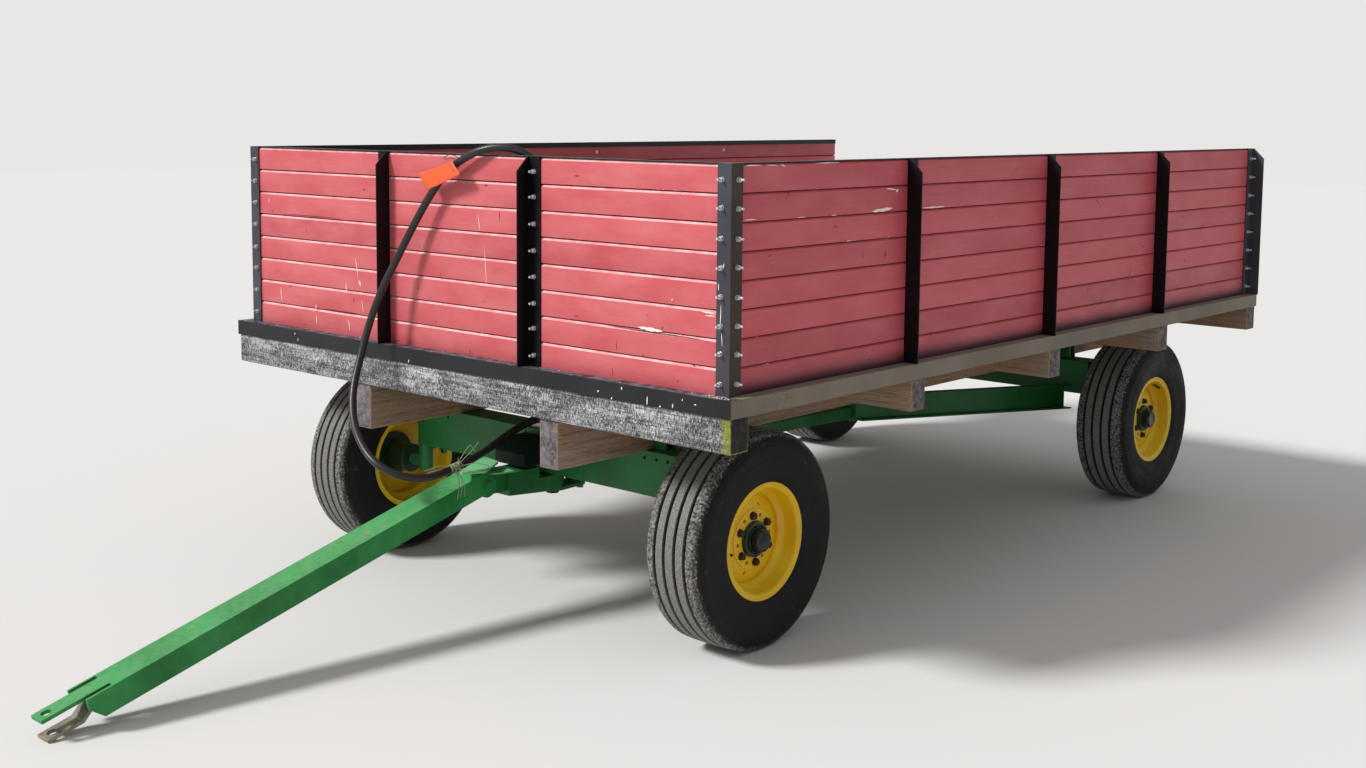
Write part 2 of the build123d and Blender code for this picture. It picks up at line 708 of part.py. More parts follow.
sill_length = 2 * (edge_x - angle_thickness)
first_sill_y = edge_y + angle_thickness + sill_width / 2
last_sill_y = bed_end_y - sill_width / 2
sill_pitch = (last_sill_y - first_sill_y) / (sill_count - 1)
with BuildPart() as header_sill:
    with BuildSketch(Plane.XY.offset(sill_bottom)):
        with Locations((0, first_sill_y)):
            Rectangle(sill_length, sill_width)
    extrude(amount=sill_height)
save(header_sill, "header_sill")

with BuildPart() as cross_sills:
    with BuildSketch(Plane.XY.offset(sill_bottom)):
        with Locations(*[(0, first_sill_y + k * sill_pitch) for k in range(1, sill_count)]):
            Rectangle(sill_length, sill_width)
    extrude(amount=sill_height)
save(cross_sills, "cross_sills")

with BuildPart() as deck:
    plank_pitch = sill_length / plank_count
    deck_front = edge_y + angle_thickness
    with BuildSketch(Plane.XY.offset(sill_top)):
        with Locations((0, (deck_front + bed_end_y) / 2)):
            with GridLocations(plank_pitch, 1, plank_count, 1):
                Rectangle(plank_pitch - plank_gap, bed_end_y - deck_front)
    extrude(amount=deck_thickness)
save(deck, "deck_planks")

# Angle iron round the edge of the bed
flat_leg = ledge + angle_thickness
with BuildPart() as edge_angles:
    for side in (1, -1):
        with BuildSketch(Plane.XZ.offset(-(bed_end_y - edge_joint_gap))):
            with BuildLine():
                Polyline((side * edge_x, ledge_top), (side * edge_x, ledge_top - edge_leg),
                         (side * (edge_x - angle_thickness), ledge_top - edge_leg),
                         (side * (edge_x - angle_thickness), deck_top),
                         (side * (edge_x - flat_leg), deck_top), (side * (edge_x - flat_leg), ledge_top), close=True)
            make_face()
        extrude(amount=bed_end_y - edge_y - flat_leg - 2 * edge_joint_gap)
        # Only the upright leg runs on to the front corner, under the front iron's flat
        leg_height = edge_leg - angle_thickness - seat_clearance
        with BuildSketch(Plane.XZ.offset(-(edge_y + flat_leg + edge_joint_gap))):
            with Locations((side * (edge_x - angle_thickness / 2), ledge_top - edge_leg + leg_height / 2)):
                Rectangle(angle_thickness, leg_height)
        extrude(amount=flat_leg + edge_joint_gap - angle_thickness - seat_clearance)
    with BuildSketch(across(0)):
        with BuildLine():
            Polyline((edge_y, ledge_top), (edge_y, ledge_top - edge_leg),
                     (edge_y + angle_thickness, ledge_top - edge_leg), (edge_y + angle_thickness, deck_top),
                     (edge_y + flat_leg, deck_top), (edge_y + flat_leg, ledge_top), close=True)
        make_face()
    extrude(amount=edge_x, both=True)
    rear_y = bed_end_y + angle_thickness
    with BuildSketch(across(0)):
        with Locations((rear_y - angle_thickness / 2, ledge_top - edge_leg / 2)):
            Rectangle(angle_thickness, edge_leg)
    extrude(amount=edge_x, both=True)
save(edge_angles, "bed_edge_angles")

# Wall boards, one over the other with a narrow chamfered groove between
board_pitch = (wall_top - rail_thickness - deck_top) / board_count
board_heights = [deck_top + (k + 0.5) * board_pitch for k in range(board_count)]
front_board_y = bed_y + angle_thickness + board_thickness / 2
side_board_start = bed_y + angle_thickness + board_thickness + board_end_gap
with BuildPart() as front_boards:
    with Locations(*[(0, front_board_y, z) for z in board_heights]):
        Box(2 * board_face, board_thickness, board_pitch - board_gap)
    chamfer(front_boards.edges().filter_by(Axis.X), board_chamfer)
save(front_boards, "front_wall_boards")

for name, side in sides.items():
    with BuildPart() as side_boards:
        board_x = side * (board_face - board_thickness / 2)
        with Locations(*[(board_x, (side_board_start + bed_end_y) / 2, z) for z in board_heights]):
            Box(board_thickness, bed_end_y - side_board_start, board_pitch - board_gap)
        chamfer(side_boards.edges().filter_by(Axis.Y), board_chamfer)
    save(side_boards, f"{name}_wall_boards")

# Corner posts and stakes of angle iron, standing on the ledge
with BuildPart() as front_posts:
    for side in (1, -1):
        with BuildSketch(Plane.XY.offset(ledge_top)):
            with BuildLine():
                Polyline((side * half_bed, bed_y), (side * half_bed, bed_y + post_leg),
                         (side * board_face, bed_y + post_leg), (side * board_face, bed_y + angle_thickness),
                         (side * (half_bed - post_leg), bed_y + angle_thickness),
                         (side * (half_bed - post_leg), bed_y), close=True)
            make_face()
        extrude(amount=wall_top - ledge_top)
save(front_posts, "front_corner_posts")


def stake_blank(x_root, y_root, flat, proud):
    """Outline of a stake seen from above: a flat leg on the boards and a proud leg away from them."""
    (fx, fy), (px, py) = flat, proud
    t = angle_thickness
    corners = [(0, 0), (1, 0), (1, t / stake_leg), (t / stake_leg, t / stake_leg), (t / stake_leg, 1), (0, 1)]
    return [(x_root + stake_leg * (a * fx + b * px), y_root + stake_leg * (a * fy + b * py)) for a, b in corners]


with BuildPart() as front_stakes:
    for side in (1, -1):
        with BuildSketch(Plane.XY.offset(ledge_top)):
            with BuildLine():
                Polyline(*stake_blank(side * front_stake_x, bed_y + angle_thickness, (side, 0), (0, -1)), close=True)
            make_face()
        extrude(amount=wall_top - ledge_top)
    proud_y = bed_y + angle_thickness - stake_leg
    with BuildSketch(across(0)):
        with BuildLine():
            Polyline((proud_y, wall_top), (proud_y, wall_top - stake_cut), (proud_y + stake_cut, wall_top), close=True)
        make_face()
    extrude(amount=half_bed, both=True, mode=Mode.SUBTRACT)
save(front_stakes, "front_stakes")

for name, side in sides.items():
    with BuildPart() as side_stakes:
        for k in range(side_stake_count):
            stake_y = bed_y + side_stake_first + k * side_stake_pitch
            with BuildSketch(Plane.XY.offset(ledge_top)):
                with BuildLine():
                    Polyline(*stake_blank(side * board_face, stake_y, (0, 1), (side, 0)), close=True)
                make_face()
            extrude(amount=wall_top - ledge_top)
        proud_x = side * (board_face + stake_leg)
        with BuildSketch(Plane.XZ.offset(-bed_end_y)):
            with BuildLine():
                Polyline((proud_x, wall_top), (proud_x, wall_top - stake_cut),
                         (proud_x - side * stake_cut, wall_top), close=True)
            make_face()
        extrude(amount=bed_length, mode=Mode.SUBTRACT)
    save(side_stakes, f"{name}_side_stakes")

with BuildPart() as rear_posts:
    for side in (1, -1):
        with BuildSketch(Plane.XY.offset(ledge_top)):
            with BuildLine():
                Polyline(*stake_blank(side * board_face, bed_end_y, (0, -1), (side, 0)), close=True)
            make_face()
        extrude(amount=wall_top - ledge_top)
        proud_x = side * (board_face + stake_leg)
        with BuildSketch(Plane.XZ.offset(-bed_end_y)):
            with BuildLine():
                Polyline((proud_x, wall_top), (proud_x, wall_top - stake_cut),
                         (proud_x - side * stake_cut, wall_top), close=True)
            make_face()
        extrude(amount=post_leg, mode=Mode.SUBTRACT)
save(rear_posts, "rear_corner_posts")

# Top rails: an angle over the boards with its lip inside the box
with BuildPart() as top_rails:
    rail_z = wall_top - rail_thickness
    rail_inner_y = bed_y + angle_thickness + board_thickness + rail_thickness
    rail_inner_x = board_face - board_thickness - rail_thickness
    with Locations((0, (bed_y + angle_thickness + rail_inner_y) / 2, wall_top - rail_thickness / 2)):
        Box(2 * board_face, rail_inner_y - bed_y - angle_thickness, rail_thickness)
    with Locations((0, rail_inner_y - rail_thickness / 2, rail_z - rail_lip / 2)):
        Box(2 * (rail_inner_x - rail_end_gap), rail_thickness, rail_lip)
    for side in (1, -1):
        with BuildSketch(Plane.XZ.offset(-bed_end_y)):
            with BuildLine():
                Polyline((side * board_face, rail_z), (side * board_face, wall_top), (side * rail_inner_x, wall_top),
                         (side * rail_inner_x, rail_z - rail_lip),
                         (side * (rail_inner_x + rail_thickness), rail_z - rail_lip),
                         (side * (rail_inner_x + rail_thickness), rail_z), close=True)
            make_face()
        extrude(amount=bed_end_y - rail_inner_y - rail_end_gap)
save(top_rails, "top_rails")

# Hose with its block on the front beam, its end inside the box, a twine tie and a blank tag
hose_points = [Vector(x, bed_y + y, z) for x, y, z in hose_route]
hose_radii = []
for before, corner, after in zip(hose_points, hose_points[1:], hose_points[2:]):
    half_turn = radians((corner - before).get_angle(after - corner)) / 2
    hose_radii.append(hose_bend_share * min((corner - before).length, (after - corner).length) / tan(half_turn))
print("hose radii, mm:", [round(radius) for radius in hose_radii])
with BuildPart() as hose:
    with BuildLine():
        hose_line = FilletPolyline(*hose_points, radius=hose_radii)
    with BuildSketch(Plane(origin=hose_line @ 0, z_dir=hose_line % 0)):
        Circle(hose_radius)
    sweep()
print("hose volume over section times length:", hose.part.volume / (pi * hose_radius ** 2 * hose_line.length))
save(hose, "hose")

with BuildPart() as hose_fitting:
    block_width, block_depth, block_height = hose_block
    first = hose_points[0]
    with Locations((first.X, first.Y + block_depth / 2 + running_gap, beam_top + block_height / 2)):
        Box(block_width, block_depth, block_height)
    chamfer(hose_fitting.edges().filter_by(Axis.Z), angle_thickness)
save(hose_fitting, "hose_fitting")

with BuildPart() as hose_coupler:
    with BuildSketch(Plane(origin=hose_line @ 1 + hose_line % 1 * seat_clearance, z_dir=hose_line % 1)):
        Circle(hose_end_radius)
    extrude(amount=hose_end_length)
save(hose_coupler, "hose_coupler")

with BuildPart() as hose_tie:
    with BuildSketch(Plane(origin=hose_line @ hose_tie_share, z_dir=hose_line % hose_tie_share)):
        Circle(hose_tie_radius)
        Circle(hose_radius + hose_tie_gap, mode=Mode.SUBTRACT)
    extrude(amount=hose_tie_length / 2, both=True)
save(hose_tie, "hose_tie")

with BuildPart() as hose_tag:
    with BuildSketch(Plane.XZ.offset(-(bed_y - tag_ahead))):
        with BuildLine():
            Polyline(*tag_corners, close=True)
        make_face()
    extrude(amount=tag_thickness)
save(hose_tag, "hose_tag")
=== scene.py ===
"""Looks of a hay wagon: a red board box on a green four-wheeled steering gear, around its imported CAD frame.

Everything is in metres. +X is the wagon's left side, the tongue points to -Y and the ground is Z = 0.
"""
import random
from functools import partial
from math import cos, pi, radians, sin

import bmesh
import bpy
from mathutils import Matrix, Vector, noise
from mathutils.geometry import interpolate_bezier


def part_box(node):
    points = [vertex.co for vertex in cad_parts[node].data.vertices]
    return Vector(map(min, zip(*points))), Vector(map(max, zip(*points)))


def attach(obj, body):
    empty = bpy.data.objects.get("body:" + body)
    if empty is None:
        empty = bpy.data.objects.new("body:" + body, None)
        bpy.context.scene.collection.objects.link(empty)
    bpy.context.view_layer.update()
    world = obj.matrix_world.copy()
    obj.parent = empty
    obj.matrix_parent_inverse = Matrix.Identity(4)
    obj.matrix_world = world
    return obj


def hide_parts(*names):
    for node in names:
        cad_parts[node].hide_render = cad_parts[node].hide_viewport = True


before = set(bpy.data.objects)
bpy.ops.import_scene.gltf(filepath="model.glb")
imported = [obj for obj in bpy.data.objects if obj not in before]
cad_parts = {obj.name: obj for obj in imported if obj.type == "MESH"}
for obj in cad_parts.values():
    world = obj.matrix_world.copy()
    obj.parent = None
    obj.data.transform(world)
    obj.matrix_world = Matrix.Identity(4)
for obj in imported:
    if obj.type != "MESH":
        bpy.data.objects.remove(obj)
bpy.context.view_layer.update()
scene = bpy.context.scene
scene.view_settings.view_transform = "Standard"
mm = 0.001
# Without a seed this noise starts from the clock, and no two runs would be the same
noise.seed_set(7)


def middle_of(node):
    """Middle of a CAD node's bounds."""
    low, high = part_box(node)
    return (low + high) / 2


# Places that the CAD frame gives
post_low, post_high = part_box("front_corner_posts")
rear_post_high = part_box("rear_corner_posts")[1]
board_low, board_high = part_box("front_wall_boards")
tag_low, tag_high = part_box("hose_tag")
bed_front = post_low.y
front_axle_y = sum(corner.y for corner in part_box("steering_pin")) / 2
rear_axle_y = middle_of("rear_left_hub").y
board_face = board_high.x
board_count = 8
board_pitch = (board_high.z - board_low.z) / board_count

# Stakes and their nuts, from the middle of the wagon and from the front of its bed
front_stake_nut = 418 * mm
side_stake_nuts = [bed_front + (1009 + 1002 * k) * mm for k in range(3)]
front_post_nut = 37 * mm
side_post_nut = 31 * mm
rear_post_nut = 34 * mm
side_leg_stands = 6 * mm
board_thickness = 25 * mm


# Camera of the photograph: a 1366 by 768 frame whose lens axis meets it above the middle
photo_width = 1366
sensor_width = 36
lens_pixels = 1573.15
axis_above_middle = 110.2
camera_place = (4.386, bed_front - 3.706, 1.865)
camera_turn = 41.526
camera_fall = 5.832
camera_roll = 0.4866
camera_data = bpy.data.cameras.new("photo_camera")
camera_data.sensor_width = sensor_width
camera_data.lens = sensor_width * lens_pixels / photo_width
camera_data.shift_y = -axis_above_middle / photo_width
camera = bpy.data.objects.new("photo_camera", camera_data)
scene.collection.objects.link(camera)
camera.matrix_world = (Matrix.Translation(camera_place) @ Matrix.Rotation(radians(camera_turn), 4, "Z")
                       @ Matrix.Rotation(radians(90 - camera_fall), 4, "X")
                       @ Matrix.Rotation(radians(camera_roll), 4, "Z"))
scene.camera = camera


# Colours and materials. A pattern's scale is how many of its spots fit in a metre: 1000 over a spot's size
# in millimetres.

def linear(hex_colour):
    """Turn an sRGB hex colour into the linear red, green, blue and alpha that a shader works in."""
    parts = [int(hex_colour[i:i + 2], 16) / 255 for i in (1, 3, 5)]
    return tuple(p / 12.92 if p <= 0.04045 else ((p + 0.055) / 1.055) ** 2.4 for p in parts) + (1,)


def add_node(tree, kind, *inputs, **settings):
    """Add one shader node with its inputs in order, and its other inputs and its properties by name.

    An input is a value, a socket, or a node, which stands for its first output.
    """
    made = tree.nodes.new("ShaderNode" + kind)
    sockets = dict(enumerate(inputs))
    for name, value in settings.items():
        if hasattr(made, name):
            setattr(made, name, value)
        else:
            sockets[name] = value
    for name, value in sockets.items():
        source = value.outputs[0] if isinstance(value, bpy.types.Node) else value
        if isinstance(source, bpy.types.NodeSocket):
            tree.links.new(source, made.inputs[name])
        else:
            made.inputs[name].default_value = source
    return made


def new_material(name, roughness, metallic=0.0, specular=0.5):
    """Start a material with what is the same all over. Return it and the function that adds its nodes."""
    material = bpy.data.materials.new(name)
    material.use_nodes = True
    sockets = material.node_tree.nodes["Principled BSDF"].inputs
    sockets["Roughness"].default_value = roughness
    sockets["Metallic"].default_value = metallic
    sockets["Specular IOR Level"].default_value = specular
    return material, partial(add_node, material.node_tree)


def feed(material, colour, bump, roughness=None):
    """Link a finished colour, relief and, where it varies, roughness into a material, and return it."""
    tree = material.node_tree
    sockets = tree.nodes["Principled BSDF"].inputs
    tree.links.new(colour.outputs[0], sockets["Base Color"])
    tree.links.new(bump.outputs[0], sockets["Normal"])
    if roughness is not None:
        tree.links.new(roughness.outputs[0], sockets["Roughness"])
    return material


def blend(add, pattern, low, high, under, over, least=0.0, most=1.0):
    """Mix two colours by a pattern, from where it is low to where it is high."""
    mask = add("MapRange", pattern, low, high, least, most)
    return add("MixRGB", mask, under, over)


def streaks(add, place, length, width, **settings):
    """A pattern of streaks with a length along the grain and a width across it, in millimetres."""
    stretched = add("Mapping", place, Scale=(1000 / length, 1000 / width, 1000 / width))
    return add("TexNoise", stretched, Scale=1.0, **settings)


def enamel_over_steel(name, paint, paler_and_top_lit, rust, dust_colour, roughness, chip_share, dust_share, specular,
                      top_wear):
    """Brushed enamel on mill steel: soft sheen, clouds paled by the sun, tops paler by sun and painted light,
    chips down to rust, dust on top.
    """
    material, add = new_material(name, roughness, specular=specular)
    coordinates = add("TexCoord")
    place = coordinates.outputs["Object"]
    cloud = add("TexNoise", place, Scale=1000 / 250, Detail=5.0, Roughness=0.6)
    clouds = add("MapRange", cloud, 0.38, 0.66, 0.0, 0.6)
    # Faces that face up take the paler paint, partly bleaching by the sun and partly painted light, so tops
    # read lighter than sides
    normal = add("SeparateXYZ", coordinates.outputs["Normal"])
    facing_up = add("MapRange", normal.outputs["Z"], 0.25, 0.95)
    paler_share_and_painted_top_light = add("Math", facing_up, 0.6, clouds, operation="MULTIPLY_ADD", use_clamp=True)
    body = add("MixRGB", paler_share_and_painted_top_light, linear(paint), linear(paler_and_top_lit))
    # Chips are 4 to 15 mm across and come in groups about 180 mm apart
    chip = add("TexNoise", place, Scale=1000 / 11.7647, Detail=6.0, Roughness=0.65)
    group = add("TexNoise", place, Scale=1000 / 181.818, Detail=2.0)
    group_bias = add("MapRange", group, 0.35, 0.75, -0.09, 0.09)
    grouped = add("Math", chip, group_bias, operation="ADD")
    worn = add("Math", facing_up, top_wear, grouped, operation="MULTIPLY_ADD")
    chip_edge = 0.74 - chip_share
    chips = add("MapRange", worn, chip_edge, chip_edge + 0.02)
    rust_tone = add("TexNoise", place, Scale=1000 / 5.26316, Detail=4.0)
    rusted = add("MixRGB", rust_tone, linear(rust), linear("#8A5A3C"))
    chipped = add("MixRGB", chips, body, rusted)
    grit = add("TexNoise", place, Scale=1000 / 26.3158, Detail=8.0, Roughness=0.75)
    grits = add("MapRange", grit, 0.42, 0.68, 0.0, dust_share)
    dust = add("Math", facing_up, grits, operation="MULTIPLY")
    dusted = add("MixRGB", dust, chipped, linear(dust_colour))
    rough_chips = add("Math", chips, 0.45, roughness, operation="MULTIPLY_ADD")
    rough = add("Math", dust, 0.35, rough_chips, operation="MULTIPLY_ADD", use_clamp=True)
    # Brush marks and orange peel 4 mm apart and a few tenths of a millimetre high
    peel = add("TexNoise", place, Scale=1000 / 3.84615, Detail=3.0)
    relief = add("Math", chips, -1.4, peel, operation="MULTIPLY_ADD")
    return feed(material, dusted, add("Bump", Strength=0.35, Distance=0.6 * mm, Height=relief), rough)


def painted_board(name, paint, deep, chalk, soil_and_shade_colour, soil_and_shade_share):
    """Barn paint on planed softwood: smooth, faint grain and brush lines, chalky clouds, soil and painted
    shade below.
    """
    material, add = new_material(name, 0.5)
    on_board = add("Attribute", attribute_name="timber").outputs["Vector"]
    tone = add("Attribute", attribute_name="tone").outputs["Fac"]
    place = add("TexCoord").outputs["Object"]
    board = add("MixRGB", tone, linear(paint), linear(deep))
    # The sun has chalked it in clouds 280 by 120 mm, each board with its own
    cloud = streaks(add, on_board, 277.778, 115.741, Detail=5.0, Roughness=0.6)
    chalked = blend(add, cloud, 0.36, 0.72, board, linear(chalk), 0.0, 0.55)
    # Grain and brush lines 5 mm apart run the length of each board
    grain = streaks(add, on_board, 324.675, 5.05051, Detail=5.0, Roughness=0.6, Distortion=0.3)
    grains = add("MapRange", grain, 0.3, 0.7, 0.95, 1.04)
    grained = add("VectorMath", chalked, operation="SCALE", Scale=grains)
    # Pin knots and nail heads: dark dots 3 to 8 mm across, a few to a metre of board
    knot_map = add("Mapping", on_board, Scale=(1000 / 222.222, 1000 / 76.9231, 1000 / 76.9231))
    knot = add("TexVoronoi", knot_map, Scale=1.0)
    knotted = blend(add, knot, 0.035, 0.055, grained, linear("#5E2226"), 0.8, 0.0)
    # Paint is gone in small flakes, mostly along the boards' edges
    flake = streaks(add, on_board, 47.619, 9.52381, Detail=7.0, Roughness=0.7)
    up_board = add("SeparateXYZ", on_board).outputs["Y"]
    off_middle = add("Math", up_board, operation="ABSOLUTE")
    edge_bias = add("MapRange", off_middle, 36 * mm, 45 * mm, 0.0, 0.14)
    flake_group = add("TexNoise", place, Scale=1000 / 384.615, Detail=2.0)
    flake_near = add("Math", flake_group, 0.34, flake, operation="MULTIPLY_ADD")
    flake_sum = add("Math", flake_near, edge_bias, operation="ADD")
    flakes = add("MapRange", flake_sum, 0.96, 0.975, 0.0, 0.85)
    flaked = add("MixRGB", flakes, knotted, linear("#EFD3C6"))
    # Darker towards the bottom over the lowest 70 mm: mildly on the front wall, purple-black as painted shade
    # on the side walls
    height = add("SeparateXYZ", place).outputs["Z"]
    low = add("MapRange", height, 0.985, 1.055, soil_and_shade_share, 0.0)
    foot_mottle = add("TexNoise", place, Scale=1000 / 111.111, Detail=6.0)
    foot_mottled = add("Math", foot_mottle, 0.5, low, operation="MULTIPLY_ADD", use_clamp=True)
    soil_and_shade_mask = add("Math", foot_mottled, low, operation="MULTIPLY")
    soil_and_shade_mixed = add("MixRGB", soil_and_shade_mask, flaked, linear(soil_and_shade_colour))
    relief = add("Math", flakes, -0.8, grain, operation="MULTIPLY_ADD")
    return feed(material, soil_and_shade_mixed, add("Bump", Strength=0.3, Distance=1 * mm, Height=relief))


def sawn_timber(name, early, late, silver, end_tone, check_share, coat=None, coat_share=0.0, moss=False):
    """Rough-sawn softwood gone grey: growth rings, dark checks along it, what is left of a black coat."""
    material, add = new_material(name, 0.85, specular=0.3)
    on_timber = add("Attribute", attribute_name="timber").outputs["Vector"]
    ends = add("Attribute", attribute_name="end_grain").outputs["Fac"]
    place = add("TexCoord").outputs["Object"]
    # Growth rings 6.3 mm apart about a pith under the timber; a wave repeats at pi / 10 over its scale
    pith = add("Mapping", on_timber, Location=(0.0, 30 * mm, 75 * mm))
    rings = add("TexWave", pith, pi / 10 / (6.2832 * mm), 7.0, 3.0, 0.8, 0.6, wave_type="RINGS",
                rings_direction="X")
    wood = add("MixRGB", rings.outputs["Fac"], linear(early), linear(late))
    grey = add("TexNoise", place, Scale=1000 / 200, Detail=5.0, Roughness=0.65)
    weathered = blend(add, grey, 0.35, 0.65, wood, linear(silver))
    # Saw marks and fibres 4 mm apart
    fibre = streaks(add, on_timber, 166.667, 3.84615, Detail=7.0, Roughness=0.7)
    fibres = add("MapRange", fibre, 0.3, 0.7, 0.72, 1.2)
    fibrous = add("VectorMath", weathered, operation="SCALE", Scale=fibres)
    # Drying checks: dark lines along the grain, 1 to 2 mm wide
    check = streaks(add, on_timber, 534.759, 13.0719, Detail=5.0, Roughness=0.55, Distortion=0.6)
    off_level = add("Math", check, 0.5, operation="SUBTRACT")
    off_line = add("Math", off_level, operation="ABSOLUTE")
    checks = add("MapRange", off_line, 0.004, 0.016, check_share, 0.0)
    finished = add("MixRGB", checks, fibrous, linear("#2A221C"))
    # End grain drinks water and goes dark, with blotches 10 to 30 mm across
    blotch = add("TexNoise", place, Scale=1000 / 22.2222, Detail=6.0, Roughness=0.7)
    blotches = add("MapRange", blotch, 0.3, 0.7, 0.2, 1.75)
    end_colour = add("VectorMath", linear(end_tone)[:3], operation="SCALE", Scale=blotches)
    if coat:
        # The coat has weathered off in specks 4 to 10 mm across that join into pale streaks
        speck_map = add("Mapping", place, Scale=(1000 / 4, 1000 / 4, 1000 / 9.52381))
        speck = add("TexNoise", speck_map, Scale=1.0, Detail=3.0, Roughness=0.85)
        patch_map = add("Mapping", on_timber, Scale=(1000 / 200, 1000 / 55.5556, 1000 / 55.5556))
        patch = add("TexNoise", patch_map, Scale=1.0, Detail=5.0, Roughness=0.6)
        bare = add("Math", patch, 0.45, speck, operation="MULTIPLY_ADD")
        coat_edge = 0.62 + coat_share
        finished = blend(add, bare, coat_edge, coat_edge + 0.2, finished, linear(coat), 1.0, 0.0)
    if moss:
        # Moss and algae on the header's left end, where the rain drips
        across = add("SeparateXYZ", place).outputs["X"]
        near_end = add("MapRange", across, 1.245, 1.32, 0.0, 0.5)
        tuft = add("TexNoise", place, Scale=1000 / 16.6667, Detail=7.0, Roughness=0.75)
        tufts = add("Math", near_end, tuft, operation="ADD")
        moss_tone = add("MixRGB", tuft, linear("#4C560A"), linear("#B0B82E"))
        finished = blend(add, tufts, 0.85, 1.02, finished, moss_tone, 0.0, 0.92)
    finished = blend(add, ends, 0.6, 0.95, finished, end_colour)
    relief = add("Math", checks, -1.2, fibre, operation="MULTIPLY_ADD")
    return feed(material, finished, add("Bump", Strength=0.7, Distance=2.5 * mm, Height=relief))


def worn_rubber(name):
    """Moulded tyre rubber: near-black walls with a brown bloom, ribs scuffed grey by gravel."""
    material, add = new_material(name, 0.72, specular=0.28)
    place = add("TexCoord").outputs["Object"]
    rib = add("Attribute", attribute_name="tread").outputs["Fac"]
    shoulder = add("Attribute", attribute_name="shoulder").outputs["Fac"]
    bloom = add("TexNoise", place, Scale=1000 / 142.857, Detail=5.0, Roughness=0.6)
    black = blend(add, bloom, 0.42, 0.7, linear("#0A0B10"), linear("#221F20"))
    # Pale smears 10 to 40 mm long where the wall has rubbed on something
    smear = add("TexNoise", place, Scale=1000 / 41.6667, Detail=6.0, Roughness=0.7, Distortion=0.8)
    wall = blend(add, smear, 0.63, 0.74, black, linear("#6C6B6C"), 0.0, 0.55)
    # Gravel scuffs 2 to 4 mm across
    scuff = add("TexNoise", place, Scale=1000 / 4.34783, Detail=5.0, Roughness=0.75)
    dusty = blend(add, scuff, 0.36, 0.64, linear("#4B4A48"), linear("#918E88"))
    worn = add("MixRGB", rib, wall, dusty)
    # Stones have bitten the shoulder ribs: dark pits and pale chips 4 to 8 mm across
    bite = add("TexNoise", place, Scale=1000 / 9.52381, Detail=5.0, Roughness=0.7)
    deep = add("MapRange", bite, 0.5, 0.42)
    pits = add("Math", deep, shoulder, operation="MULTIPLY", use_clamp=True)
    pitted = add("MixRGB", pits, worn, linear("#222224"))
    pale = add("MapRange", bite, 0.57, 0.64, 0.0, 0.65)
    chips = add("Math", pale, shoulder, operation="MULTIPLY", use_clamp=True)
    chipped = add("MixRGB", chips, pitted, linear("#B9B6B0"))
    grain = add("TexNoise", place, Scale=1000 / 3.33333, Detail=4.0)
    relief = add("Math", grain, 0.5, scuff, operation="MULTIPLY_ADD")
    rough = add("MapRange", bloom, 0.35, 0.7, 0.55, 0.85)
    return feed(material, chipped, add("Bump", Strength=0.3, Distance=1.2 * mm, Height=relief), rough)


def plain_goods(name, first, second, roughness, size, height, metallic=0.0):
    """A small part's finish: two close tones in spots of a size, with a relief of a height, both in mm."""
    material, add = new_material(name, roughness, metallic)
    place = add("TexCoord").outputs["Object"]
    spot = add("TexNoise", place, Scale=1000 / size, Detail=6.0, Roughness=0.65)
    tone = blend(add, spot, 0.35, 0.65, linear(first), linear(second))
    bump = add("Bump", Strength=0.5, Distance=height * mm, Height=spot)
    rough = add("MapRange", spot, 0.3, 0.7, max(0.05, roughness - 0.12), min(1.0, roughness + 0.12))
    return feed(material, tone, bump, rough)


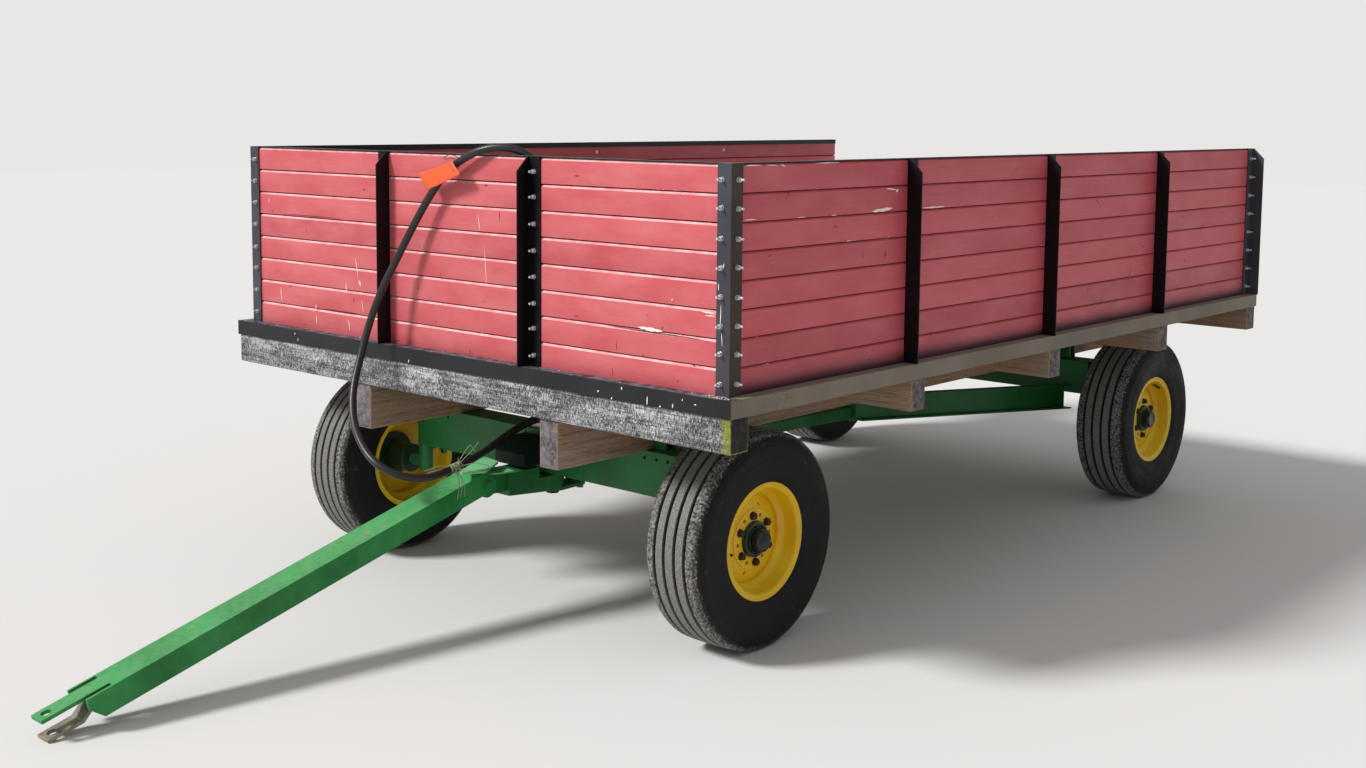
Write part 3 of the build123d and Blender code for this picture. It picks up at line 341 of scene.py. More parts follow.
finish_rows = {
    worn_rubber: (("worn_tyre_rubber",),),
    # Enamel: paint, paler paint for the sun's clouds and the painted light on tops, rust, dust, roughness,
    # chipped and dusty shares, specular level, wear on top
    enamel_over_steel: (
        # The gear's own green, made darker still as painted shade
        ("green_enamel_on_steel", "#155F2A", "#2E8446", "#5B3524", "#7F9068", 0.36, 0.03, 0.45, 0.35, 0.0),
        ("scuffed_green_enamel", "#17702F", "#3FA45C", "#7A4A38", "#8F9A7C", 0.4, 0.045, 0.5, 0.3, 0.05),
        # Near-black green for the housing under the header, as painted shade
        ("grimy_dark_green_enamel", "#08130E", "#0D1F16", "#3A2A20", "#3C443A", 0.5, 0.03, 0.4, 0.2, 0.0),
        # The latch's green, made lighter as painted sunlight
        ("bright_green_latch_enamel", "#4DB56B", "#86DDA0", "#6B3A28", "#A6B08A", 0.38, 0.04, 0.3, 0.5, 0.0),
        ("dark_green_hub_enamel", "#0F2E20", "#173D2A", "#3A2A20", "#5F6A58", 0.42, 0.03, 0.4, 0.5, 0.0),
        ("blue_black_cap_enamel", "#10161A", "#1C2428", "#3A2A20", "#4F5654", 0.34, 0.01, 0.3, 0.5, 0.0),
        ("yellow_wheel_enamel", "#DFAE00", "#F4D425", "#4A2E18", "#B7A36A", 0.38, 0.06, 0.25, 0.5, 0.0),
        ("black_enamel_on_angle", "#17181B", "#25262A", "#4C3A30", "#96919A", 0.45, 0.02, 0.95, 0.3, 0.0),
        # One black paint in two copies: near black on the stakes as painted shade, lighter on the posts as
        # painted light
        ("fresh_black_on_stakes", "#08080B", "#101015", "#3A2C26", "#55525A", 0.4, 0.01, 0.5, 0.2, 0.0),
        ("scuffed_black_on_posts", "#36373D", "#4A4B52", "#54463C", "#A09CA0", 0.45, 0.04, 0.9, 0.3, 0.0),
        # Brown tones for the faces that face across: a painted warm reflection in the shade
        ("rusted_black_on_angle", "#3B322D", "#4B4138", "#6A4A38", "#8A8078", 0.6, 0.06, 0.5, 0.25, 0.0),
        ("worn_primer_on_angle", "#726A5E", "#8A8072", "#4A3830", "#857C70", 0.62, 0.05, 0.4, 0.3, 0.0)),
    # Painted boards: paint, deeper paint, chalked paint, soil and painted shade at the foot, its share. The
    # two are lit and shaded copies of one barn red, and the shade copy's purple-black foot is painted shade
    painted_board: (
        ("barn_red_paint_in_the_sun", "#C9545A", "#B94850", "#DC7E82", "#8E4A4E", 0.3),
        ("barn_red_paint_in_the_shade", "#C44C55", "#AE424B", "#D06872", "#22102C", 1.0)),
    # Timbers: early wood, late wood, silvered wood, end grain, share of checks, the coat's colour and share
    sawn_timber: (
        ("header_with_worn_black_coat", "#B0AFB0", "#9A999A", "#DCDCDE", "#2E2D2C", 0.6, "#3A3A3E", 0.035,
         True),
        ("sawn_sill_softwood", "#B48B68", "#9A7552", "#9C8C80", "#6F6769", 0.4),
        ("weathered_deck_plank", "#8D8376", "#766D61", "#A7A39B", "#5F5A55", 0.6)),
    # Small parts: two tones, roughness, size and height of the pattern in millimetres, metallic
    plain_goods: (
        ("zinc_plated_steel", "#E3E4E5", "#B4B6B9", 0.42, 4.16667, 0.2, 0.55),
        ("rusted_steel", "#4A2E1F", "#2A1F1B", 0.8, 4.54545, 0.6, 0.2),
        ("bare_rubbed_steel", "#A39C8B", "#6F675A", 0.5, 9.09091, 0.5, 0.35),
        ("black_hose_rubber", "#141414", "#232220", 0.42, 6.25, 0.2),
        ("orange_coated_card", "#E4521F", "#DE5E2B", 0.6, 33.3333, 0.2),
        ("baler_twine_sisal", "#9FA682", "#667049", 0.9, 2, 0.4),
        # Pale pink for the front boards' up-facing chamfers: a painted highlight
        ("sun_bleached_paint_edge", "#F6C9CA", "#E0898E", 0.45, 41.6667, 0.3),
        ("bare_wood_under_paint", "#FBF0E4", "#E6CDBB", 0.7, 11.1111, 0.4),
        ("tar_and_rust_mark", "#4C1D22", "#6A2E30", 0.7, 11.1111, 0.2),
        # Joint strips, dark as painted shade in the gaps between the boards
        ("shadowed_joint", "#4A1420", "#2E0D14", 0.9, 16.6667, 0.1),
        ("painted_joint_in_the_shade", "#70182A", "#5C1222", 0.8, 16.6667, 0.1))}
finishes = {name: make(name, *row) for make, rows in finish_rows.items() for name, *row in rows}


# Pieces

merge_distance = 0.02 * mm
profile_cuts = 5
nut_across_flats = 14 * mm
nut_corner_radius = nut_across_flats * 0.577
nut_height = 8.5 * mm
washer_radius = nut_across_flats * 0.62
thread_radius = 4.2 * mm
thread_stands = 24 * mm


def as_object(name, bm):
    """Turn a bmesh into an object of the scene."""
    mesh = bpy.data.meshes.new(name)
    bm.to_mesh(mesh)
    bm.free()
    made = bpy.data.objects.new(name, mesh)
    scene.collection.objects.link(made)
    return made


def finish_piece(name, bm, materials, replaces=(), body="chassis", sharp=40, even=False):
    """Turn a bmesh into a finished piece that rides on a body, shaded smooth up to a sharp angle."""
    made = as_object(name, bm)
    made.data.shade_smooth()
    made.data.set_sharp_from_angle(angle=radians(sharp))
    for material in materials:
        made.data.materials.append(finishes[material])
    if even:
        made.modifiers.new("even_faces", "WEIGHTED_NORMAL").keep_sharp = True
    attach(made, body)
    if replaces:
        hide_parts(*replaces)
    return made


def bevel_edges(bm, edges, width, segments):
    """Round edges, or chamfer them with one segment."""
    bmesh.ops.bevel(bm, geom=edges, offset=width, offset_type="OFFSET", segments=segments, profile=0.5,
                    affect="EDGES", clamp_overlap=True, material=-1)


def spun_ring(bm, profile, steps):
    """Spin a closed profile of (reach outwards, radius) points about the X axis into a turned shape."""
    points = [bm.verts.new((x, 0, r)) for x, r in profile]
    edges = [bm.edges.new(pair) for pair in zip(points, points[1:] + points[:1])]
    bmesh.ops.spin(bm, geom=points + edges, cent=(0, 0, 0), axis=(1, 0, 0), angle=2 * pi, steps=steps,
                   use_merge=True)
    bmesh.ops.remove_doubles(bm, verts=bm.verts, dist=merge_distance)
    bmesh.ops.recalc_face_normals(bm, faces=bm.faces)


def smooth_run(*knots):
    """Points along a soft curve through the knots, for a profile."""
    run = []
    for k in range(len(knots) - 1):
        here, there = Vector(knots[k]), Vector(knots[k + 1])
        before = Vector(knots[max(k - 1, 0)])
        after = Vector(knots[min(k + 2, len(knots) - 1)])
        leave = here + (there - before) / 6
        arrive = there - (after - here) / 6
        flat = [Vector((p.x, p.y, 0)) for p in (here, leave, arrive, there)]
        run += [(p.x, p.y) for p in interpolate_bezier(*flat, profile_cuts + 1)[:-1]]
    run.append(tuple(knots[-1]))
    return run


def towards(direction):
    """Rotation matrix that turns +Z to a direction."""
    return Vector(direction).to_track_quat("Z", "Y").to_matrix().to_4x4()


def add_stud(bm, place, turn, radius, height, sides=16, top_radius=None, chamfer=0.0):
    """Add a round or six-sided stud, head, washer or cap that stands on a place, turned by a matrix."""
    upper = radius if top_radius is None else top_radius
    stand = Matrix.Translation(place) @ turn @ Matrix.Translation((0, 0, height / 2))
    made = bmesh.ops.create_cone(bm, cap_ends=True, segments=sides, radius1=radius, radius2=upper,
                                 depth=height, matrix=stand)
    if chamfer:
        out = turn @ Vector((0, 0, 1))
        caps = [f for f in bm.faces if len(f.verts) == sides and all(v in made["verts"] for v in f.verts)]
        cap = max(caps, key=lambda f: f.calc_center_median().dot(out))
        bevel_edges(bm, list(cap.edges), chamfer, 1 if sides == 6 else 2)


def add_bolt(bm, place, direction, spin):
    """Add a washer, a nut and the thread that stands out of it: a few dozen faces."""
    out = Vector(direction)
    turn = towards(out) @ Matrix.Rotation(spin, 4, "Z")
    add_stud(bm, place, turn, washer_radius, 1.4 * mm, 12)
    add_stud(bm, place + out * 1.2 * mm, turn, nut_corner_radius, nut_height, 6)
    add_stud(bm, place, turn, thread_radius, thread_stands, 8)


def rounded_copy(node, width):
    """Copy a CAD node's mesh, merge its loose triangles into plain faces and round its long edges."""
    bm = bmesh.new()
    bm.from_mesh(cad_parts[node].data)
    bmesh.ops.remove_doubles(bm, verts=bm.verts, dist=0.05 * mm)
    bmesh.ops.dissolve_limit(bm, angle_limit=radians(1.5), verts=bm.verts, edges=bm.edges)
    sharp = [e for e in bm.edges if len(e.link_faces) == 2 and e.calc_face_angle(0) > radians(35)
             and e.calc_length() > 6 * width]
    bevel_edges(bm, sharp, width, 2)
    return bm


def lay_timber(bm, low, high, along, edge, warp, seed, cuts, top_edge=0.0):
    """Add one sawn timber between two corners: rounded edges, a slight bow, its grain's own coordinates."""
    rng = random.Random(seed)
    size = Vector(high) - Vector(low)
    middle = (Vector(high) + Vector(low)) / 2
    part = bmesh.new()
    bmesh.ops.create_cube(part, size=1, matrix=Matrix.Diagonal((*size, 1)))

    def long_edges(share):
        return [e for e in part.edges if abs((e.verts[0].co - e.verts[1].co)[along]) > size[along] * share]

    # The chamfer along the top edge faces up and takes the second finish: a painted highlight on the front
    # boards, plain paint on the sides
    if top_edge:
        bevel_edges(part, [e for e in long_edges(0.9) if e.verts[0].co.z > 0], top_edge, 1)
        part.normal_update()
        for face in part.faces:
            face.material_index = int(0.5 < face.normal.z < 0.9)
    square = [e for e in part.edges if not top_edge or e.verts[0].co.z + e.verts[1].co.z < 0]
    bevel_edges(part, square, edge, 2)
    bmesh.ops.subdivide_edges(part, edges=long_edges(0.8), cuts=cuts, use_grid_fill=True)
    grain = part.verts.layers.float_vector.new("timber")
    ends = part.verts.layers.float.new("end_grain")
    tone = part.verts.layers.float.new("tone")
    shift = rng.uniform(0, 40)
    board_tone = rng.random()
    for v in part.verts:
        c = v.co.copy()
        v[grain] = Vector((c[along] + shift, c.z, c[1 - along]))
        v[ends] = 1.0 if abs(c[along]) > size[along] / 2 - edge * 0.2 else 0.0
        v[tone] = board_tone
        bow = noise.noise_vector(Vector((c[along] * 1.3 + shift, seed * 3.7, 0))) * warp
        rough = noise.noise_vector((c + Vector((shift, 0, 0))) * 14) * warp * 0.35
        bow[along] = 0
        v.co = c + bow + rough + middle
    merged = bpy.data.meshes.new("timber")
    part.to_mesh(merged)
    part.free()
    bm.from_mesh(merged)
    bpy.data.meshes.remove(merged)


def lay_cord(name, material, radius, runs, shares=None, smooth=6, round_steps=2):
    """Lay cords of a radius, or of their shares of it, along runs of points, each on one smooth curve."""
    data = bpy.data.curves.new(name, "CURVE")
    data.dimensions = "3D"
    data.bevel_depth = radius
    data.bevel_resolution = round_steps
    data.use_fill_caps = True
    data.materials.append(finishes[material])
    for run, share in zip(runs, shares or [1] * len(runs)):
        line = data.splines.new("NURBS")
        line.points.add(len(run) - 1)
        for control, place in zip(line.points, run):
            control.co = (*place, 1)
            control.radius = share
        line.order_u = 3
        line.use_endpoint_u = True
        line.resolution_u = smooth
    cord = bpy.data.objects.new(name, data)
    scene.collection.objects.link(cord)
    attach(cord, "chassis")
    return cord


# Hose: it leaves the front beam, loops over the tongue's hinge and climbs over the front wall into the box

hose_route = [(-40, 436, 676), (-19, 332, 663), (8, 226, 642), (38, 115, 614), (62, -30, 583),
              (54, -180, 556), (10, -272, 574), (-70, -318, 616), (-176, -300, 673), (-276, -258, 741),
              (-341, -208, 838), (-364, -150, 960), (-354, -115, 1087), (-313, -85, 1214), (-247, -60, 1336),
              (-178, -45, 1450), (-96, -36, 1560), (-9, -30, 1651), (80, -28, 1697), (160, -22, 1730),
              (242, 14, 1745), (316, 57, 1724), (374, 90, 1662), (404, 107, 1578), (408, 109, 1486)]
hose_radius = 14 * mm
hose_run = [(x * mm, bed_front + y * mm, z * mm) for x, y, z in hose_route]
# A bare line comes first, because the boot, the coupler and the twine are placed along it
hose_path = lay_cord("hose_path", "black_hose_rubber", 0.0, [hose_run], smooth=12)
bpy.context.view_layer.update()
hose_line = [v.co.copy() for v in bpy.data.meshes.new_from_object(hose_path).vertices]
bpy.data.curves.remove(hose_path.data)
hose = lay_cord("hose_line", "black_hose_rubber", hose_radius, [hose_run], smooth=12,
                round_steps=6)
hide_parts("hose")


def on_hose(share):
    """Point and direction on the hose's line at a share of its points."""
    spot = min(int(share * (len(hose_line) - 1)), len(hose_line) - 2)
    return hose_line[spot], (hose_line[spot + 1] - hose_line[spot]).normalized()


# Wheels, in millimetres: (reach outwards, radius) profiles, from the wheel's middle

tyre_profile = smooth_run((98, 190.5), (99, 206), (109, 212), (117, 232), (121, 262), (123.6, 289))
tyre_profile += [(125, 291), (125, 294), (124.2, 296)] + smooth_run((124.4, 297), (124.8, 326), (123, 338))
tyre_profile += [(121, 340.5), (121.4, 344), (119.6, 345.5), (118.6, 352), (116, 354), (117, 358), (115, 361),
                 (111.5, 368), (107.5, 375), (103, 380.5), (96, 384), (73, 385.4), (71, 374), (61, 374),
                 (59, 385.9), (30, 386.9), (28, 375), (17.5, 375), (15.5, 387), (0, 387)]
rim_profile = [(0, 166), (31, 166), (34, 168), (46, 181.5), (49.5, 184.5), (53, 185.8), (96, 189.3),
               (99, 192), (99.5, 198), (101, 204), (104, 207.5), (106, 208.3), (107, 207), (107, 204),
               (104.6, 200), (103.4, 194), (102.6, 188), (99, 185), (95, 183.6), (53, 179.8), (48.5, 177.6),
               (37, 163.5), (33.5, 160.8), (30, 160), (0, 160)]
rim_lip = 12
disc_profile = [(43, 64.5), (53, 64.5), (53, 104.5), (52.2, 107), (48, 108.8), (46.8, 111), (44, 120),
                (36, 138), (28, 152), (24.5, 157.5), (23.5, 160.5), (13.5, 160.5), (14.5, 155.5), (19, 149),
                (27, 134.5), (35, 117), (38, 108), (41, 104), (43, 98)]
hub_profile = [(-96, 23), (-96, 57), (-93, 60), (29, 60), (29, 94), (31, 96), (42.7, 96), (42.7, 62.8),
               (65.5, 62.8), (68.3, 61.6), (69, 59.5), (69, 52), (67.5, 50.5), (62, 50), (62, 46), (70, 46),
               (71.5, 45.2), (72, 43.6), (71, 42), (69.6, 41), (70.6, 40), (95, 40), (99.5, 39), (102, 36.5),
               (103, 33), (103, 29), (101.6, 25), (101, 0), (73, 0), (73, 23)]
cap_reach = 69.3
# Places of the disc's holes: radius and turn
disc_holes = [(86, 60 * k + 30) for k in range(6)] + [(122, 157), (122, 337)]
disc_hole_radius = 7.5
bolt_circle_radius = 84
wheel_spin = {"front_left": 95.5, "front_right": 47, "rear_left": -32, "rear_right": 23}
outwards = towards((1, 0, 0))


def mirrored(profile):
    """The other side of a profile, from its last point to its first."""
    return [(-x, r) for x, r in reversed(profile)]


def on_wheel(reach, radius, turn):
    """Point of a wheel at a reach, a radius and a turn in degrees."""
    return Vector((reach, radius * cos(radians(turn)), radius * sin(radians(turn))))


def finish_wheel_part(corner, bm, name, materials, replaces=(), sharp=40):
    """Scale a wheel part from millimetres, put it on its axle at the wheel's own turn, and finish it."""
    middle = middle_of(f"{corner}_tyre")
    facing = 0 if middle.x > 0 else pi
    bm.transform(Matrix.Translation(middle) @ Matrix.Rotation(facing, 4, "Z")
                 @ Matrix.Rotation(radians(wheel_spin[corner]), 4, "X") @ Matrix.Scale(mm, 4))
    finish_piece(f"{corner}_{name}", bm, materials, [f"{corner}_{node}" for node in replaces],
                 f"{corner}_wheel", sharp)


def make_tyre(corner):
    """Rib tyre: five ribs, four grooves, rings on the walls, attributes for what the road has scuffed."""
    bm = bmesh.new()
    spun_ring(bm, tyre_profile + mirrored(tyre_profile[:-1]), 192)
    tread = bm.verts.layers.float.new("tread")
    shoulder = bm.verts.layers.float.new("shoulder")
    # The road has scuffed the ribs' tops and the shoulders' slopes, and chipped the outer ribs
    for v in bm.verts:
        reach = abs(v.co.x)
        radius = v.co.yz.length
        v[tread] = 1.0 if radius > 382.5 else (0.6 if radius > 374 and reach > 80 else 0.0)
        v[shoulder] = 1.0 if reach > 72 and radius > 366 else 0.0
    finish_wheel_part(corner, bm, "rib_tyre", ["worn_tyre_rubber"], ["tyre"], 32)


def make_rim(corner):
    """Pressed drop-centre rim, its dished disc with eight drilled holes, and the valve in its bead seat."""
    yellow = ["yellow_wheel_enamel"]
    bm = bmesh.new()
    outer, inner = rim_profile[:rim_lip], rim_profile[rim_lip:]
    spun_ring(bm, mirrored(outer[1:]) + outer + inner[:-1] + mirrored(inner), 120)
    finish_wheel_part(corner, bm, "drop_centre_rim", yellow, ["rim"], 35)
    bm = bmesh.new()
    spun_ring(bm, disc_profile, 120)
    drills = bmesh.new()
    for radius, turn in disc_holes:
        add_stud(drills, on_wheel(20, radius, turn), outwards, disc_hole_radius, 50)
    drill = as_object("disc_drills", drills)
    blank = as_object("disc_blank", bm)
    cut = blank.modifiers.new("holes", "BOOLEAN")
    cut.object = drill
    cut.solver = "EXACT"
    bpy.context.view_layer.update()
    bm = bmesh.new()
    depsgraph = bpy.context.evaluated_depsgraph_get()
    bm.from_mesh(bpy.data.meshes.new_from_object(blank.evaluated_get(depsgraph)))
    for leftover in (drill, blank):
        bpy.data.objects.remove(leftover)
    finish_wheel_part(corner, bm, "dished_disc", yellow, sharp=35)
    bm = bmesh.new()
    stem_turn = towards((1, 0, -0.42))
    add_stud(bm, Vector((62, 0, 182)), stem_turn, 8, 10, 16, 5.5)
    add_stud(bm, Vector((66, 0, 180)), stem_turn, 5, 34, 16, chamfer=1)
    finish_wheel_part(corner, bm, "valve_stem", ["black_hose_rubber"])


def make_hub(corner):
    """Cast hub with its pressed grease cap, and six wheel bolts with worn heads."""
    bm = bmesh.new()
    spun_ring(bm, hub_profile, 96)
    for face in bm.faces:
        face.material_index = int(face.calc_center_median().x > cap_reach)
    hub_finishes = ["dark_green_hub_enamel", "blue_black_cap_enamel"]
    finish_wheel_part(corner, bm, "cast_hub", hub_finishes, ["hub"], 35)
    bm = bmesh.new()
    for k in range(6):
        place = on_wheel(53, bolt_circle_radius, 60 * k)
        turn = outwards @ Matrix.Rotation(0.4 * k, 4, "Z")
        add_stud(bm, place, turn, 15, 3, 20, 14)
        add_stud(bm, place + Vector((2.6, 0, 0)), turn, 13, 13, 6, chamfer=1.8)
    finish_wheel_part(corner, bm, "wheel_bolts", ["rusted_steel"])


for wheel_corner in wheel_spin:
    make_tyre(wheel_corner)
    make_rim(wheel_corner)
    make_hub(wheel_corner)


# Box: boards, marks, posts, stakes and rails

def seed_of(name, k):
    """A steady whole number for the seed of one of a named piece's boards."""
    return sum(ord(c) * (i + 3) for i, c in enumerate(name)) % 997 + k * 31


def make_boards(name, node, along, paint, edge_paint, joint_paint, edge):
    """Painted boards over each other, each a little bowed, with a chamfered top edge and a dark joint."""
    low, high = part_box(node)
    bm = bmesh.new()
    for k in range(board_count):
        bottom = low.z + k * board_pitch + (3 * mm if k else 0)
        top = low.z + (k + 1) * board_pitch - (1 * mm if k < board_count - 1 else 0)
        lay_timber(bm, (low.x, low.y, bottom), (high.x, high.y, top), along, 1.5 * mm, 0.3 * mm,
                   seed_of(name, k), 24, edge)
        if k:
            # The tongue of the board below closes the joint; the strip is painted dark as painted shade in
            # the gap
            joint = Vector(((low.x + high.x) / 2, (low.y + high.y) / 2, bottom - 1 * mm))
            span = high - low
            span[1 - along] = 10 * mm
            span.z = 9 * mm
            span[along] -= 4 * mm
            filled = Matrix.Translation(joint) @ Matrix.Diagonal((*span, 1))
            strip = bmesh.ops.create_cube(bm, size=1, matrix=filled)["verts"]
            for face in {f for v in strip for f in v.link_faces}:
                face.material_index = 2
    finish_piece(name, bm, [paint, edge_paint, joint_paint], [node], sharp=25)


# The front boards' chamfers carry a painted highlight
make_boards("front_boards_painted", "front_wall_boards", 0, "barn_red_paint_in_the_sun",
            "sun_bleached_paint_edge", "shadowed_joint", 7.5 * mm)
for side_name in ("left", "right"):
    make_boards(f"{side_name}_boards_painted", f"{side_name}_wall_boards", 1, "barn_red_paint_in_the_shade",
                "barn_red_paint_in_the_shade", "painted_joint_in_the_shade", 5 * mm)


patch_proud = 0.6 * mm
front_faces = {"front": board_low.y, "iron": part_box("bed_edge_angles")[0].y, "post": post_low.y}


def add_patch(bm, wall, along, height, length, thick, lean, seed):
    """Add one ragged patch, pointed at both ends, proud of a wall; lean turns it up from the horizontal."""
    rng = random.Random(seed)
    steps = 10
    rim = []
    for k, edge in [(k, 1) for k in range(steps + 1)] + [(k, -1) for k in range(steps - 1, 0, -1)]:
        share = k / steps
        half = thick / 2 * sin(pi * share) ** 0.7 * rng.uniform(0.55, 1.1)
        rim.append((length * (share - 0.5), edge * half))
    turn = radians(lean)
    corners = []
    for u, v in rim:
        run = (along + u * cos(turn) - v * sin(turn)) * mm
        rise = (height + u * sin(turn) + v * cos(turn)) * mm
        if wall in front_faces:
            corners.append(bm.verts.new((run, front_faces[wall] - patch_proud, rise)))
        else:
            side = 1 if wall == "left" else -1
            corners.append(bm.verts.new((side * (board_face + patch_proud), bed_front + run, rise)))
    bm.faces.new(corners)


# Where paint is gone or marked, by wall: place along it, height, length, thickness and lean. Places are in
# millimetres from the wagon's middle at the front and from the bed's front at the sides.
pale_patches = {
    "iron": [(881, 971, 10, 6, 80), (995, 945, 30, 5, 88), (836, 932, 9, 5, 60), (1051, 933, 9, 6, 30),
             (1105, 942, 16, 5, 80), (774, 948, 9, 6, 50), (-938, 969, 9, 5, 80), (-918, 947, 14, 4, 88),
             (-216, 938, 14, 5, 70), (1200, 958, 9, 5, 10), (1146, 966, 8, 4, 80)],
    "post": [(1262, 1242, 70, 3.5, 88), (1268, 1165, 44, 3, 95), (1252, 1330, 24, 4, 92),
             (1272, 1396, 18, 4, 80)],
    "front": [(-594, 1258, 84, 4, 100), (-663, 1174, 47, 4, 91), (-575, 1198, 26, 8, 115),
              (-1103, 1111, 66, 4, 100), (-864, 1078, 28, 5, 92), (-863, 1030, 38, 4, 88),
              (-647, 1028, 44, 5, 97), (-1180, 1492, 26, 3, 95), (-560, 1110, 52, 3, 103),
              (124, 1470, 66, 3, 102), (158, 1318, 152, 2.5, 95), (958, 1168, 116, 13, -2),
              (1208, 1244, 62, 5, -4), (1216, 1235, 44, 4, 2), (1130, 1249, 40, 3, 1),
              (1053, 1272, 8, 5, 20)],
    "left": [(824, 1538, 130, 15, 3), (876, 1608, 64, 6, -6), (912, 1601, 18, 10, 20),
             (100, 1536, 66, 4, 1), (362, 1532, 50, 2.5, 1), (540, 1531, 30, 3, 2), (112, 1705, 90, 4, 0),
             (205, 1704, 60, 3, -2), (500, 1706, 140, 3.5, 0), (1150, 1534, 156, 6, 0),
             (262, 1702, 22, 5, -20)],
    "right": []}
dark_patches = {
    "front": [(808, 1096, 26, 3, 94), (929, 1077, 8, 6, 30), (1149, 1071, 9, 6, 10), (1081, 1012, 7, 5, 0),
              (948, 1214, 7, 4, 20), (790, 1011, 24, 2.5, 95), (234, 1498, 44, 3, 92),
              (-219, 1208, 9, 7, 60), (-92, 1265, 24, 3, 70), (-84, 1439, 12, 4, 40), (-210, 1362, 6, 4, 0),
              (152, 1189, 6, 4, 0), (72, 998, 24, 3, 85), (-120, 1091, 12, 3, 80), (-1156, 1450, 18, 4, 40),
              (-923, 1384, 7, 6, 0), (-1026, 1278, 7, 5, 0), (-614, 1129, 24, 5, 80), (-945, 1002, 7, 5, 0),
              (930, 1159, 360, 4, -1), (1110, 1157, 230, 3, -2), (-880, 1443, 420, 4, 0),
              (-700, 1077, 240, 4, 0), (-420, 1350, 160, 3, 0), (1012, 1176, 16, 5, 60)],
    "left": [(292, 1610, 14, 7, 80), (846, 1382, 24, 7, 85), (711, 1387, 26, 3, 80),
             (1151, 1071, 20, 8, 85), (199, 1416, 14, 4, 20), (2424, 1507, 40, 5, -40),
             (2741, 1176, 60, 6, 78), (2484, 1082, 36, 5, 85), (3496, 1354, 34, 5, 75),
             (2096, 1470, 20, 6, 70), (3310, 1200, 18, 5, 80)],
    "right": []}
rng = random.Random(12)
for k in range(26):
    pale_patches["right"].append((rng.uniform(80, 3950), rng.uniform(1000, 1690), rng.uniform(20, 110),
                                  rng.uniform(2, 6), rng.choice((0, 0, 95))))
    dark_patches["right"].append((rng.uniform(80, 3950), rng.uniform(1000, 1690), rng.uniform(7, 34),
                                  rng.uniform(3, 6), rng.uniform(60, 100)))
for patch_name, patches, patch_material in (("flaked_paint_patches", pale_patches, "bare_wood_under_paint"),
                                            ("tar_and_rust_patches", dark_patches, "tar_and_rust_mark")):
    bm = bmesh.new()
    rows = [(wall, *patch) for wall, wall_patches in patches.items() for patch in wall_patches]
    for k, row in enumerate(rows):
        add_patch(bm, *row, seed=k)
    bmesh.ops.recalc_face_normals(bm, faces=bm.faces)
    finish_piece(patch_name, bm, [patch_material])

# Rounded steel, by finish, slot and body: CAD node, rounding in millimetres and name
steel_rows = {
    ("scuffed_black_on_posts", "black_steel", "chassis"): (
        ("front_corner_posts", 1.5, "front_posts_of_angle"),
        ("rear_corner_posts", 1.5, "rear_posts_of_angle")),
    ("fresh_black_on_stakes", "black_steel", "chassis"): (
        ("front_stakes", 1.5, "front_stakes_of_angle"), ("left_side_stakes", 1.5, "left_stakes_of_angle"),
        ("right_side_stakes", 1.5, "right_stakes_of_angle")),
    ("black_enamel_on_angle", "black_steel", "chassis"): (
        ("top_rails", 1, "top_rail_angles"), ("bed_edge_angles", 2, "bed_edge_iron")),
    ("green_enamel_on_steel", "green_steel", "chassis"): (
        ("front_axle", 3, "front_axle_weldment"), ("rear_axle", 3, "rear_axle_weldment"),
        ("bolster_stakes", 2, "bolster_stake_channels"), ("reach_pole", 3, "reach_tube"),
        ("reach_collar", 3, "reach_collar_casting"), ("rear_hound_left", 2, "left_hound_channel"),
        ("rear_hound_right", 2, "right_hound_channel")),
    ("green_enamel_on_steel", "green_steel", "tongue_yoke"): (("tongue_yoke", 2.5, "yoke_weldment"),),
    ("bright_green_latch_enamel", "green_steel", "tongue_yoke"): (("tongue_latch", 1.5, "latch_plates"),),
    ("scuffed_green_enamel", "green_steel", "tongue"): (("tongue_beam", 3, "tongue_folded_channel"),),
    ("bare_rubbed_steel", "bare_steel", "tongue"): (("tongue_lower_strap", 2, "tongue_bent_strap"),)}
for (finish, slot, body), rows in steel_rows.items():
    for node, rounding, name in rows:
        finish_piece(name, rounded_copy(node, rounding * mm), [finish], [node], body, even=True)

# Parts of them have another finish: the irons along the sides are brown-grey and the posts' legs along them
# dark brown, a painted warm reflection on the faces in shade, and the housing over the yoke is near black as
# painted shade under the header
for name, finish, has_it in (
        ("bed_edge_iron", "worn_primer_on_angle",
         lambda face: abs(face.center.x) > 1.285 and face.center.y > bed_front - 44 * mm),
        ("front_posts_of_angle", "rusted_black_on_angle", lambda face: abs(face.normal.x) > 0.7),
        ("front_axle_weldment", "grimy_dark_green_enamel",
         lambda face: abs(face.center.x) < 84 * mm and face.center.y < front_axle_y - 71 * mm)):
    steel = bpy.data.objects[name].data
    steel.materials.append(finishes[finish])
    for face in steel.polygons:
        face.material_index = int(has_it(face))

for node, finish in (("knuckle_left", "green_enamel_on_steel"), ("knuckle_right", "green_enamel_on_steel"),
                     ("tie_rod_left", "green_enamel_on_steel"), ("tie_rod_right", "green_enamel_on_steel"),
                     ("steering_pin", "rusted_steel"), ("tongue_hinge_pin", "scuffed_green_enamel")):
    for material_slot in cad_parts[node].material_slots:
        material_slot.material = finishes[finish]


bead_radius = 3.5 * mm
bead_ripple = 3 * mm


def add_bead(bm, start, end):
    """Add one bead of weld between two points, with the ripples of a hand-held torch."""
    run = end - start
    steps = max(int(run.length / bead_ripple), 2)
    turn = towards(run.normalized())
    before = None
    for k in range(steps + 1):
        swell = bead_radius * (1 + 0.22 * sin(k * 1.9) + 0.12 * sin(k * 0.7))
        middle = start + run * k / steps
        ring = [bm.verts.new(middle + turn @ Vector((swell * cos(n * pi / 3), swell * sin(n * pi / 3), 0)))
                for n in range(6)]
        if before:
            for n in range(6):
                bm.faces.new((before[n], before[(n + 1) % 6], ring[(n + 1) % 6], ring[n]))
        before = ring


beam_face = 66 * mm
tube_edge = 26 * mm
